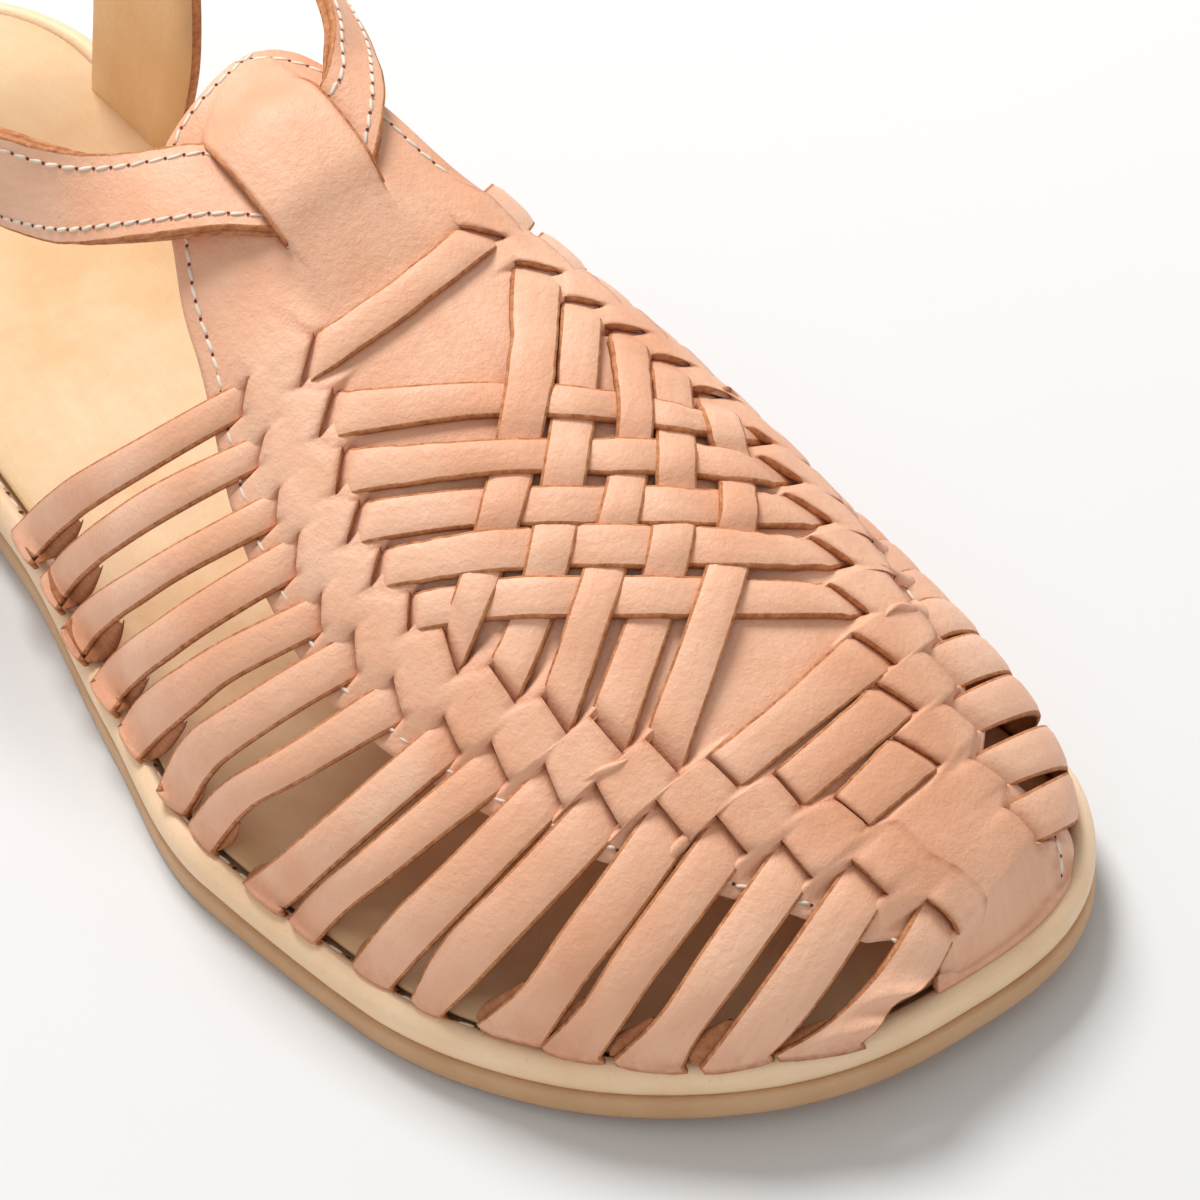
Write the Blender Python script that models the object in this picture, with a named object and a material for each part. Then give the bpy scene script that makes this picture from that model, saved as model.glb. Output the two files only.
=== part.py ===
"""A right huarache sandal: slip lasted sole, woven one piece upper, ankle strap with buckle.

All sizes are in millimetres. X runs from heel to toe, Y from lateral to medial, Z up.
"""
import math

import bmesh
import bpy
from mathutils import Vector

MM = 0.001

# Plan point, in the sizes below, that becomes the middle of the row's frame
ORIGIN = (127.5, 2.48, 0.0)

# Driving sizes
LENGTH = 255.0
HEEL_ROUND = 32.0
TOE_ROUND = 52.0
TOE_SQUARENESS = 2.8
TOE_SWING = 16.0
TOE_SPRING = 4.0
SPRING_START = 195.0
OUTSOLE_THICK = 4.0
GAP = 0.3
RIM_WIDTH = 3.6
SEAT_HEIGHT = 9.0
LAST_BASE = 10.0
WALL = 1.6
STRAP_WIDTH = 7.0
STATIONS = 36

# Half widths of the sole: x, lateral, medial
SOLE_WIDTHS = [
    (0, 30.0, 30.0),
    (30, 31.0, 30.3),
    (70, 31.0, 29.3),
    (110, 34.0, 28.6),
    (145, 42.0, 35.0),
    (175, 49.0, 42.0),
    (205, 48.5, 43.5),
    (230, 44.5, 43.0),
    (255, 37.0, 37.5),
]

# Height of the last above its base, place of its ridge from lateral 0 to medial 1, and how full
# its lateral and medial sides are: x, height, ridge, lateral fullness, medial fullness
LAST_SECTIONS = [
    (60, 66.0, 0.60, 2.0, 3.0),
    (100, 66.4, 0.62, 2.0, 3.0),
    (130, 66.0, 0.65, 2.0, 2.9),
    (160, 54.0, 0.64, 2.0, 2.8),
    (190, 43.0, 0.64, 2.0, 2.5),
    (220, 30.0, 0.61, 1.9, 2.1),
    (236, 19.5, 0.55, 1.8, 1.9),
    (245, 12.5, 0.53, 1.8, 1.8),
    (251, 3.0, 0.53, 1.8, 1.8),
]

# Straps in order from instep to toe. Across runs from -1 at the lateral seam to 1 at the medial seam.
# foot x, outer slit x and across, inner slit x and across
LATERAL_STRAPS = [
    (114.0, 155.0, -0.40, 157.6, -0.27),
    (124.0, 161.1, -0.42, 163.9, -0.30),
    (134.0, 167.3, -0.45, 170.0, -0.34),
    (144.0, 173.0, -0.47, 175.5, -0.37),
    (153.5, 179.9, -0.50, 181.1, -0.38),
    (164.5, 186.3, -0.51, 187.5, -0.39),
    (174.5, 193.8, -0.51, 194.2, -0.39),
    (185.0, 201.5, -0.49, 201.3, -0.36),
    (194.5, 207.7, -0.47, 207.9, -0.34),
    (204.5, 214.1, -0.43, 213.6, -0.30),
    (213.8, 220.0, -0.39, 219.4, -0.25),
    (223.0, 226.1, -0.34, 224.9, -0.20),
    (231.3, 231.7, -0.29, 230.9, -0.14),
    (238.5, 238.1, -0.24, 236.8, -0.07),
    (244.2, 243.0, -0.13, 243.4, -0.03),
    (247.6, 246.5, 0.05, 246.8, 0.12),
]
MEDIAL_STRAPS = [
    (120.0, 152.0, 0.25, 156.4, 0.11),
    (129.5, 159.0, 0.29, 163.2, 0.15),
    (139.0, 165.0, 0.33, 169.3, 0.18),
    (148.5, 171.0, 0.38, 174.0, 0.23),
    (158.0, 177.0, 0.43, 179.2, 0.29),
    (167.5, 183.5, 0.48, 184.2, 0.33),
    (176.5, 190.5, 0.52, 191.0, 0.37),
    (184.0, 197.0, 0.50, 196.5, 0.33),
    (190.5, 203.5, 0.47, 202.4, 0.30),
    (197.0, 209.5, 0.43, 208.6, 0.25),
    (203.5, 215.3, 0.39, 214.9, 0.19),
    (209.5, 221.5, 0.35, 221.5, 0.16),
    (215.5, 227.8, 0.30, 227.9, 0.12),
    (222.0, 234.2, 0.27, 234.6, 0.09),
    (230.5, 240.0, 0.30, 240.0, 0.20),
    (237.0, 244.4, 0.44, 244.4, 0.34),
]

# Field strips: name, lateral strap number, medial strap number, middle x and across, over pattern
FIELD_STRIPS = [
    ("t1", 1, 1, 157.0, -0.09, ""),
    ("h1", 2, 7, 173.5, 0.02, "uouou"),
    ("h2", 3, 8, 179.5, -0.01, "ououo"),
    ("h3", 4, 9, 186.0, -0.04, "uouou"),
    ("h4", 5, 10, 192.5, -0.05, "ououo"),
    ("h5", 6, 11, 199.5, -0.07, "uouou"),
    ("v1", 7, 2, 178.5, -0.13, "ououo"),
    ("v2", 8, 3, 182.5, -0.07, "uouou"),
    ("v3", 9, 4, 188.5, -0.01, "ououo"),
    ("v4", 10, 5, 194.5, 0.04, "uouou"),
    ("v5", 11, 6, 200.5, 0.10, "ououo"),
    ("b1", 12, 12, 222.0, -0.01, ""),
    ("b2", 13, 13, 228.5, 0.00, ""),
    ("b3", 14, 14, 235.0, 0.01, ""),
]

# Panel under the weave: x, lateral edge across, medial edge across
PANEL_EDGES = [
    (119.6, -0.13, 0.02),
    (121.0, -0.24, 0.10),
    (124.6, -0.32, 0.18),
    (131.0, -0.37, 0.22),
    (140.0, -0.42, 0.27),
    (148.0, -0.46, 0.32),
    (157.0, -0.51, 0.37),
    (165.0, -0.55, 0.42),
    (180.0, -0.59, 0.54),
    (195.0, -0.59, 0.60),
    (209.0, -0.55, 0.55),
    (223.0, -0.48, 0.46),
    (235.0, -0.40, 0.40),
    (240.0, -0.35, 0.42),
    (244.0, -0.28, 0.52),
]
PANEL_ROWS = 9
# Rows where the panel goes down to the toe seam: extra inset, lateral y, medial y
TOE_END = [(1.9, 13.0, 34.0), (0.6, 14.5, 36.0)]

# Ankle strap from its buckle round the heel, under the tongue and back to its tip:
# upper or rear edge x y z, lower or front edge x y z
ANKLE_STRAP = [
    (84.0, -29.2, 70.4, 84.0, -29.2, 54.8),
    (74.0, -30.4, 69.6, 74.0, -30.4, 54.0),
    (62.0, -31.2, 69.1, 62.0, -31.2, 53.5),
    (48.0, -31.2, 69.0, 48.0, -31.2, 53.4),
    (34.0, -30.6, 69.4, 34.0, -30.6, 53.8),
    (20.0, -22.0, 70.2, 20.0, -22.0, 54.6),
    (11.0, -9.5, 70.8, 11.0, -9.5, 55.2),
    (9.0, 0.0, 71.0, 9.0, 0.0, 55.4),
    (11.0, 9.5, 71.0, 11.0, 9.5, 55.4),
    (20.0, 22.0, 71.2, 20.0, 22.0, 55.6),
    (34.0, 30.6, 71.4, 34.0, 30.6, 55.8),
    (48.0, 31.2, 71.8, 48.0, 31.2, 56.2),
    (66.0, 31.2, 73.2, 65.0, 31.8, 57.6),
    (84.0, 29.2, 75.4, 81.0, 32.0, 60.4),
    (103.0, 24.8, 78.2, 95.0, 30.4, 65.0),
    (115.0, 20.3, 79.6, 107.0, 27.0, 69.0),
    (122.5, 17.0, 80.2, 116.0, 24.0, 72.6),
    (127.4, 13.6, 80.8, 124.5, 21.2, 74.0),
    (130.2, 11.0, 79.8, 136.0, 15.8, 76.6),
    (130.8, 8.8, 77.2, 143.2, 9.0, 73.8),
    (129.2, 6.4, 73.3, 144.2, 5.8, 70.1),
    (128.9, 2.0, 72.1, 144.4, 2.0, 69.2),
    (128.8, -2.6, 72.6, 144.4, -3.0, 69.8),
    (128.2, -5.2, 75.0, 144.8, -6.0, 72.8),
    (126.3, -7.2, 75.2, 140.0, -11.2, 73.4),
    (123.9, -10.4, 74.6, 134.0, -17.0, 71.0),
    (120.6, -14.3, 74.0, 127.0, -21.0, 67.4),
    (116.3, -17.9, 73.4, 120.0, -23.4, 63.6),
    (111.6, -21.0, 73.4, 112.0, -24.6, 60.4),
    (105.0, -24.0, 73.0, 103.8, -25.4, 57.6),
    (94.0, -28.6, 71.0, 94.0, -28.6, 55.4),
    (86.0, -32.2, 70.2, 86.0, -32.2, 54.6),
    (78.0, -35.6, 69.7, 78.0, -35.6, 54.1),
    (70.0, -36.2, 69.4, 70.0, -36.2, 53.8),
    (63.5, -35.8, 65.6, 63.5, -35.8, 57.4),
]
ANKLE_THICK = 2.6
BUCKLE_X = (78.0, 92.0)


def table_value(table, position, column):
    """Smooth value from a table, without overshoot between its rows."""
    rows = [(row[0], row[column]) for row in table]
    if position <= rows[0][0]:
        return rows[0][1]
    if position >= rows[-1][0]:
        return rows[-1][1]
    slopes = []
    for index in range(len(rows) - 1):
        rise = rows[index + 1][1] - rows[index][1]
        slopes.append(rise / (rows[index + 1][0] - rows[index][0]))
    tangents = [slopes[0]]
    for index in range(1, len(slopes)):
        before, after = slopes[index - 1], slopes[index]
        flat = before * after <= 0
        tangents.append(0.0 if flat else 2 * before * after / (before + after))
    tangents.append(slopes[-1])
    spot = 0
    while position > rows[spot + 1][0]:
        spot += 1
    width = rows[spot + 1][0] - rows[spot][0]
    t = (position - rows[spot][0]) / width
    value = (2 * t ** 3 - 3 * t ** 2 + 1) * rows[spot][1]
    value += (t ** 3 - 2 * t ** 2 + t) * width * tangents[spot]
    value += (3 * t ** 2 - 2 * t ** 3) * rows[spot + 1][1]
    value += (t ** 3 - t ** 2) * width * tangents[spot + 1]
    return value


def toe_spring(x):
    reach = max(0.0, x - SPRING_START) / (LENGTH - SPRING_START)
    return TOE_SPRING * reach ** 2


def centre_y(x):
    return TOE_SWING * (max(0.0, x - 120.0) / 135.0) ** 2


def side_y(x, side, inset):
    """Y of the sole's edge, moved inward by inset; side is -1 lateral, 1 medial."""
    column = 1 if side < 0 else 2
    half = table_value(SOLE_WIDTHS, x, column) - inset
    heel = HEEL_ROUND - inset
    toe = TOE_ROUND - inset
    factor = 1.0
    if x < inset + heel:
        reach = min(1.0, (inset + heel - x) / heel)
        factor = math.sqrt(max(0.0, 1.0 - reach ** 2))
    if x > LENGTH - inset - toe:
        reach = min(1.0, (x - (LENGTH - inset - toe)) / toe)
        factor = max(0.0, 1.0 - reach ** TOE_SQUARENESS) ** (1.0 / TOE_SQUARENESS)
    return centre_y(x) + side * half * factor


def front_x(y, inset):
    """X of the toe's edge at a given y."""
    low, high = 215.0, LENGTH - inset
    side = 1 if y > centre_y(high) else -1
    for _ in range(30):
        middle = (low + high) / 2
        if (side_y(middle, side, inset) - y) * side > 0:
            low = middle
        else:
            high = middle
    return low


def last_section(x):
    x = min(max(x, 60.0), LENGTH - RIM_WIDTH - 0.4)
    lateral = side_y(x, -1, RIM_WIDTH)
    medial = side_y(x, 1, RIM_WIDTH)
    ridge = lateral + (medial - lateral) * table_value(LAST_SECTIONS, x, 2)
    height = table_value(LAST_SECTIONS, x, 1)
    fullness = table_value(LAST_SECTIONS, x, 3), table_value(LAST_SECTIONS, x, 4)
    return lateral, ridge, medial, height, fullness


def last_height(x, y):
    """Height of the last's surface over a point of the plan."""
    lateral, ridge, medial, height, fullness = last_section(x)
    if y < ridge:
        reach = (ridge - y) / (ridge - lateral)
        power = fullness[0]
    else:
        reach = (y - ridge) / (medial - ridge)
        power = fullness[1]
    reach = min(1.0, reach)
    rise = height * (1.0 - reach ** power) ** (1.0 / power)
    return LAST_BASE + toe_spring(x) + rise


def last_point(x, across):
    """Point of the last's surface at x, across from -1 lateral seam to 1 medial seam."""
    lateral, ridge, medial, height, fullness = last_section(x)
    angle = abs(across) * math.pi / 2
    if across < 0:
        power = fullness[0]
        y = ridge - (ridge - lateral) * math.sin(angle) ** (2 / power)
    else:
        power = fullness[1]
        y = ridge + (medial - ridge) * math.sin(angle) ** (2 / power)
    z = LAST_BASE + toe_spring(x) + height * max(0.0, math.cos(angle)) ** (2 / power)
    return Vector((x, y, z))


def last_normal(x, y):
    step = 0.4
    slope_x = (last_height(x + step, y) - last_height(x - step, y)) / (2 * step)
    slope_y = (last_height(x, y + step) - last_height(x, y - step)) / (2 * step)
    return Vector((-slope_x, -slope_y, 1.0)).normalized()


def plan_path(start, end, middle, count):
    """Path over the last above a plan curve, closer spaced where the wall is steep."""
    points = []
    for index in range(count + 1):
        t = index / count
        t = 0.5 - 0.5 * math.cos(math.pi * t)
        if middle is None:
            x = start[0] + (end[0] - start[0]) * t
            y = start[1] + (end[1] - start[1]) * t
        else:
            control_x = 2 * middle[0] - (start[0] + end[0]) / 2
            control_y = 2 * middle[1] - (start[1] + end[1]) / 2
            x = (1 - t) ** 2 * start[0] + 2 * t * (1 - t) * control_x + t ** 2 * end[0]
            y = (1 - t) ** 2 * start[1] + 2 * t * (1 - t) * control_y + t ** 2 * end[1]
        points.append(Vector((x, y, last_height(x, y))))
    return points


def make_material(name, colour, roughness, metallic):
    material = bpy.data.materials.new(name)
    material.use_nodes = True
    shader = material.node_tree.nodes["Principled BSDF"]
    shader.inputs["Base Color"].default_value = (*colour, 1.0)
    shader.inputs["Roughness"].default_value = roughness
    shader.inputs["Metallic"].default_value = metallic
    return material


def make_object(name, vertices, faces, material):
    mesh = bpy.data.meshes.new(name)
    placed = [tuple((value - start) * MM for value, start in zip(vertex, ORIGIN)) for vertex in vertices]
    mesh.from_pydata(placed, [], faces)
    shape = bmesh.new()
    shape.from_mesh(mesh)
    bmesh.ops.recalc_face_normals(shape, faces=shape.faces)
    shape.to_mesh(mesh)
    shape.free()
    part = bpy.data.objects.new(name, mesh)
    bpy.context.scene.collection.objects.link(part)
    if material is not None:
        mesh.materials.append(material)
    return part


def sole_layer(name, profile, material):
    """Closed layer of the sole from a profile of inset and height, bottom to top."""
    vertices = []
    for inset, height in profile:
        near, far = inset, LENGTH - inset
        for side in (-1, 1):
            for index in range(STATIONS + 1):
                t = index / STATIONS
                if side > 0:
                    t = 1.0 - t
                if side > 0 and index in (0, STATIONS):
                    continue
                x = near + (far - near) * (0.5 - 0.5 * math.cos(math.pi * t))
                vertices.append((x, side_y(x, side, inset), height + toe_spring(x)))
    ring = 2 * STATIONS
    faces = []
    for level in range(len(profile) - 1):
        for index in range(ring):
            following = (index + 1) % ring
            low, high = level * ring, (level + 1) * ring
            faces.append((low + index, low + following, high + following, high + index))
    for level, upward in ((0, False), (len(profile) - 1, True)):
        base = level * ring
        for index in range(STATIONS):
            lateral_near, lateral_far = index, index + 1
            medial_near, medial_far = (ring - index) % ring, ring - index - 1
            face = [lateral_near, lateral_far, medial_far, medial_near]
            face = [base + corner for corner in dict.fromkeys(face)]
            faces.append(tuple(face if upward else face[::-1]))
    return make_object(name, vertices, faces, material)


def swept(name, sections, material):
    """Closed solid through sections of four corners each."""
    vertices = [corner for section in sections for corner in section]
    faces = [(3, 2, 1, 0)]
    for index in range(len(sections) - 1):
        base = 4 * index
        for corner in range(4):
            following = (corner + 1) % 4
            faces.append((base + corner, base + following, base + 4 + following, base + 4 + corner))
    base = 4 * (len(sections) - 1)
    faces.append((base, base + 1, base + 2, base + 3))
    return make_object(name, vertices, faces, material)


def ribbon(name, points, normals, bottoms, tops, width, material):
    """Flat strip along points, its underside and top lifted along the normals."""
    sections = []
    for index, point in enumerate(points):
        before = points[max(index - 1, 0)]
        after = points[min(index + 1, len(points) - 1)]
        forward = (after - before).normalized()
        across = normals[index].cross(forward).normalized() * (width / 2)
        low = point + normals[index] * bottoms[index]
        high = point + normals[index] * tops[index]
        sections.append((low - across, low + across, high + across, high - across))
    return swept(name, sections, material)


def side_strap(name, foot_x, side, outer, material):
    """Strap from the seam up over the panel's edge and down into its outer slit."""
    foot = (foot_x, side_y(foot_x, side, RIM_WIDTH + 1.6))
    top = last_point(outer[0], outer[1])
    points = plan_path(foot, top, None, 5)
    points[0].z = LAST_BASE + 0.6 + toe_spring(foot_x)
    inward = (top - points[-2]).normalized()
    beyond = top + inward * 2.0
    beyond.z = last_height(beyond.x, beyond.y)
    points.append(beyond)
    normals = [last_normal(point.x, point.y) for point in points]
    normals[0] = Vector((0, side, 0.15)).normalized()
    bottoms = [0.5] * len(points)
    tops = [2.1] * len(points)
    bottoms[0], tops[0] = -0.8, 0.8
    bottoms[1], tops[1] = 0.0, 1.6
    bottoms[-2:] = [0.2, -0.4]
    tops[-2:] = [2.0, 0.5]
    return ribbon(name, points, normals, bottoms, tops, STRAP_WIDTH, material)


def panel_bar(name, outer, inner, material):
    """Raised bar of the panel where a strap runs beneath it between its two slits."""
    start = last_point(*outer)
    end = last_point(*inner)
    points = plan_path(start.lerp(end, 0.28), start.lerp(end, 0.86), None, 3)
    normals = [last_normal(point.x, point.y) for point in points]
    tops = [0.9, 1.9, 1.9, 0.9]
    return ribbon(name, points, normals, [-0.3] * 4, tops, STRAP_WIDTH + 0.4, material)


def field_strip(name, start, end, middle, pattern, material):
    """Raised strip of the field between its two inner slits, high where it crosses over."""
    count = 10 if pattern else 4
    points = plan_path(last_point(*start), last_point(*end), last_point(*middle), count)
    normals = [last_normal(point.x, point.y) for point in points]
    tops = []
    for index in range(count + 1):
        t = 0.5 - 0.5 * math.cos(math.pi * index / count)
        lift = 2.0
        crossing = int((t - 0.14) / 0.72 * 5) if pattern else -1
        if pattern and 0.14 < t < 0.86:
            lift = 2.9 if pattern[crossing] == "o" else 1.5
        if index in (0, count):
            lift = 0.9
        tops.append(lift)
    bottoms = [-0.35] * len(points)
    return ribbon(name, points, normals, bottoms, tops, STRAP_WIDTH - 0.4, material)


def panel_wall(name, material):
    """Tongue and toe panel as one wall of even thickness."""
    rows = []
    for x, lateral, medial in PANEL_EDGES:
        row = []
        for index in range(PANEL_ROWS):
            across = lateral + (medial - lateral) * index / (PANEL_ROWS - 1)
            row.append(last_point(x, across))
        rows.append(row)
    for extra, lateral_y, medial_y in TOE_END:
        row = []
        for index in range(PANEL_ROWS):
            y = lateral_y + (medial_y - lateral_y) * index / (PANEL_ROWS - 1)
            x = front_x(y, RIM_WIDTH + extra)
            row.append(Vector((x, y, max(LAST_BASE + 1.2, last_height(x, y)))))
        rows.append(row)
    for point in rows[-1]:
        point.z = LAST_BASE + 0.8 + toe_spring(point.x)
    inner, outer = [], []
    for row_index, row in enumerate(rows):
        for index, point in enumerate(row):
            before = rows[max(row_index - 1, 0)][index]
            after = rows[min(row_index + 1, len(rows) - 1)][index]
            left = row[max(index - 1, 0)]
            right = row[min(index + 1, PANEL_ROWS - 1)]
            normal = (after - before).cross(right - left).normalized()
            lift = tongue_bulge(point.x, point.y)
            inner.append(point + normal * (lift - WALL / 2))
            outer.append(point + normal * (lift + WALL / 2))
    count = len(inner)
    faces = []
    for row_index in range(len(rows) - 1):
        for index in range(PANEL_ROWS - 1):
            a = row_index * PANEL_ROWS + index
            b, c, d = a + 1, a + PANEL_ROWS + 1, a + PANEL_ROWS
            faces.append((count + a, count + d, count + c, count + b))
            faces.append((a, b, c, d))
    border = list(range(PANEL_ROWS))
    border += [row * PANEL_ROWS + PANEL_ROWS - 1 for row in range(1, len(rows))]
    border += [(len(rows) - 1) * PANEL_ROWS + index for index in range(PANEL_ROWS - 2, -1, -1)]
    border += [row * PANEL_ROWS for row in range(len(rows) - 2, 0, -1)]
    for index, corner in enumerate(border):
        following = border[(index + 1) % len(border)]
        faces.append((corner, count + corner, count + following, following))
    return make_object(name, inner + outer, faces, material)


def tongue_bulge(x, y):
    """Lift of the tongue over the ankle strap that runs beneath it."""
    along = math.exp(-((x - 136.5) / 12.0) ** 4)
    across = math.exp(-((y - 2.0) / 6.5) ** 4)
    return 2.8 * along * across


def base_ring(name, material):
    """Lasting margin that ties the straps and the toe together on the platform."""
    inner_inset = RIM_WIDTH + 3.2
    path = []
    stations = [110.0 + 6.0 * index for index in range(21)]
    stations += [233.0, 236.0, 239.0, 241.5, 243.6, 245.5, 247.1, 248.5, 249.6, 250.5]
    for x in stations:
        path.append((x, -1))
    for x in reversed(stations):
        if x >= 117.0:
            path.append((x, 1))
    sections = []
    for x, side in path:
        outer_inset = RIM_WIDTH + 0.4
        share = (x - 110.0) / (LENGTH - outer_inset - 110.0)
        inner_x = 110.0 + share * (LENGTH - inner_inset - 110.0)
        outer_y = side_y(x, side, outer_inset)
        inner_y = side_y(inner_x, side, inner_inset)
        low = SEAT_HEIGHT + GAP
        high = low + 1.7
        sections.append((
            (x, outer_y, low + toe_spring(x)),
            (inner_x, inner_y, low + toe_spring(x)),
            (inner_x, inner_y, high + toe_spring(x)),
            (x, outer_y, high + toe_spring(x)),
        ))
    return swept(name, sections, material)


def combine(target, cutter, operation):
    modifier = target.modifiers.new("joined", "BOOLEAN")
    modifier.operation = operation
    modifier.solver = "MANIFOLD"
    modifier.object = cutter
    cutter.hide_render = True
    cutter.display_type = "WIRE"
    bpy.context.view_layer.objects.active = target
    bpy.ops.object.modifier_apply(modifier=modifier.name)
    bpy.data.objects.remove(cutter)


def drop_small_shells(target):
    """Close the tiny pockets left where strips meet, so that the wall is one body."""
    shape = bmesh.new()
    shape.from_mesh(target.data)
    seen = set()
    pockets = []
    for start in shape.verts:
        if start in seen:
            continue
        seen.add(start)
        shell = [start]
        for vertex in shell:
            for edge in vertex.link_edges:
                other = edge.other_vert(vertex)
                if other not in seen:
                    seen.add(other)
                    shell.append(other)
        if len(shell) < 30:
            pockets.extend(shell)
    bmesh.ops.delete(shape, geom=pockets, context="VERTS")
    shape.to_mesh(target.data)
    shape.free()


def box(name, centre, size, material, turn=0.0):
    corners = []
    for dz in (-0.5, 0.5):
        for dx, dy in ((-0.5, -0.5), (0.5, -0.5), (0.5, 0.5), (-0.5, 0.5)):
            x, y = dx * size[0], dy * size[1]
            corners.append((
                centre[0] + x * math.cos(turn) - y * math.sin(turn),
                centre[1] + x * math.sin(turn) + y * math.cos(turn),
                centre[2] + dz * size[2],
            ))
    faces = [(3, 2, 1, 0), (4, 5, 6, 7), (0, 1, 5, 4), (1, 2, 6, 5), (2, 3, 7, 6), (3, 0, 4, 7)]
    return make_object(name, corners, faces, material)


def make_upper(leather):
    upper = panel_wall("upper", leather)
    combine(upper, base_ring("margin", None), "UNION")
    for side, rows in ((-1, LATERAL_STRAPS), (1, MEDIAL_STRAPS)):
        for number, (foot_x, outer_x, outer_a, inner_x, inner_a) in enumerate(rows):
            outer = (outer_x, outer_a)
            combine(upper, side_strap("strap", foot_x, side, outer, None), "UNION")
            if number < 14:
                combine(upper, panel_bar("bar", outer, (inner_x, inner_a), None), "UNION")
    for name, lateral, medial, middle_x, middle_a, pattern in FIELD_STRIPS:
        start = LATERAL_STRAPS[lateral - 1][3:]
        end = MEDIAL_STRAPS[medial - 1][3:]
        combine(upper, field_strip(name, start, end, (middle_x, middle_a), pattern, None), "UNION")
    for y, z, depth in ((-5.2, 75.0, 9.4), (10.4, 77.0, 10.2)):
        slit = box("slit", (136.2, y, z), (20.0, depth, 14.0), None)
        combine(upper, slit, "DIFFERENCE")
    drop_small_shells(upper)
    return upper


def smooth_path(rows, per_span):
    """Finer stations through the rows of a table, every column along."""
    result = []
    for index in range(len(rows) - 1):
        before = rows[max(index - 1, 0)]
        start, end = rows[index], rows[index + 1]
        after = rows[min(index + 2, len(rows) - 1)]
        for step in range(per_span):
            t = step / per_span
            result.append([
                0.5 * (2 * b + (c - a) * t + (2 * a - 5 * b + 4 * c - d) * t * t + (3 * b - a - 3 * c + d) * t ** 3)
                for a, b, c, d in zip(before, start, end, after)
            ])
    result.append(list(rows[-1]))
    return result


def make_ankle_strap(leather):
    stations = smooth_path(ANKLE_STRAP, 2)
    sections = []
    for index, station in enumerate(stations):
        high, low = Vector(station[:3]), Vector(station[3:])
        before = stations[max(index - 1, 0)]
        after = stations[min(index + 1, len(stations) - 1)]
        forward = Vector(after[:3]) + Vector(after[3:]) - Vector(before[:3]) - Vector(before[3:])
        face = (high - low).cross(forward).normalized() * (ANKLE_THICK / 2)
        sections.append((low - face, low + face, high + face, high - face))
    strap = swept("ankle_strap", sections, leather)
    combine(strap, box("hole", (82.5, -33.8, 62.2), (10.0, 12.0, 3.4), None, math.radians(-24)), "DIFFERENCE")
    combine(strap, box("spare_hole", (104.0, -24.4, 65.0), (2.6, 12.0, 2.6), None), "DIFFERENCE")
    return strap


def make_side_loop(name, side, leather):
    """Band from the seam at the heel's side, folded over the ankle strap and down again."""
    strap_y = 31.3
    strap_z = 64.8 if side > 0 else 61.3
    shift = 9.0 if side > 0 else 0.0
    inside = strap_y - 3.1
    outside = strap_y + 3.1
    top = strap_z + 10.6
    foot = 24.0 if side > 0 else 26.2
    rows = [
        (foot, SEAT_HEIGHT + GAP + 0.4, 41.5 + shift, 10.5),
        (foot + 0.2, 14.0, 42.5 + shift, 10.8),
        (foot + 0.8, 24.0, 45.5 + shift, 12.2),
        (foot + 1.6, 36.0, 48.0 + shift, 12.6),
        (inside, 50.0, 48.5 + shift, 10.0),
        (inside, strap_z + 7.0, 48.5 + shift, 10.0),
        (inside + 0.9, top - 0.7, 48.5 + shift, 10.0),
        (strap_y, top, 48.5 + shift, 10.0),
        (outside - 0.9, top - 0.7, 48.5 + shift, 10.0),
        (outside, strap_z + 7.0, 48.5 + shift, 10.0),
        (outside, strap_z - 9.0, 48.5 + shift, 10.0),
        (outside - 1.6, strap_z - 14.0, 48.5 + shift, 8.0),
    ]
    sections = []
    for index, (y, z, x, half) in enumerate(rows):
        before, after = rows[max(index - 1, 0)], rows[min(index + 1, len(rows) - 1)]
        direction = Vector((0, after[0] - before[0], after[1] - before[1])).normalized()
        normal = Vector((0, direction.z, -direction.y)) * 0.9
        near, far = x - half, x + half
        sections.append((
            (near, side * (y - normal.y), z - normal.z),
            (near, side * (y + normal.y), z + normal.z),
            (far, side * (y + normal.y), z + normal.z),
            (far, side * (y - normal.y), z - normal.z),
        ))
    if side < 0:
        sections = [tuple(reversed(section)) for section in sections]
    return swept(name, sections, leather)


def wire_loop(name, corners, radius, material, closed):
    """Round wire through corners, with six sides."""
    vertices, faces = [], []
    count = len(corners)
    for index, corner in enumerate(corners):
        if closed:
            before, after = corners[index - 1], corners[(index + 1) % count]
        else:
            before, after = corners[max(index - 1, 0)], corners[min(index + 1, count - 1)]
        forward = (Vector(after) - Vector(before)).normalized()
        side = forward.cross(Vector((0, 1, 0.02))).normalized()
        other = forward.cross(side).normalized()
        for turn in range(8):
            angle = turn * math.pi / 4
            vertices.append(Vector(corner) + side * radius * math.cos(angle) + other * radius * math.sin(angle))
    spans = count if closed else count - 1
    for index in range(spans):
        following = (index + 1) % count
        for turn in range(8):
            a, b = 8 * index + turn, 8 * index + (turn + 1) % 8
            c, d = 8 * following + (turn + 1) % 8, 8 * following + turn
            faces.append((a, b, c, d))
    if not closed:
        faces.append(tuple(range(7, -1, -1)))
        faces.append(tuple(range(8 * (count - 1), 8 * count)))
    return make_object(name, vertices, faces, material)


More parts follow.
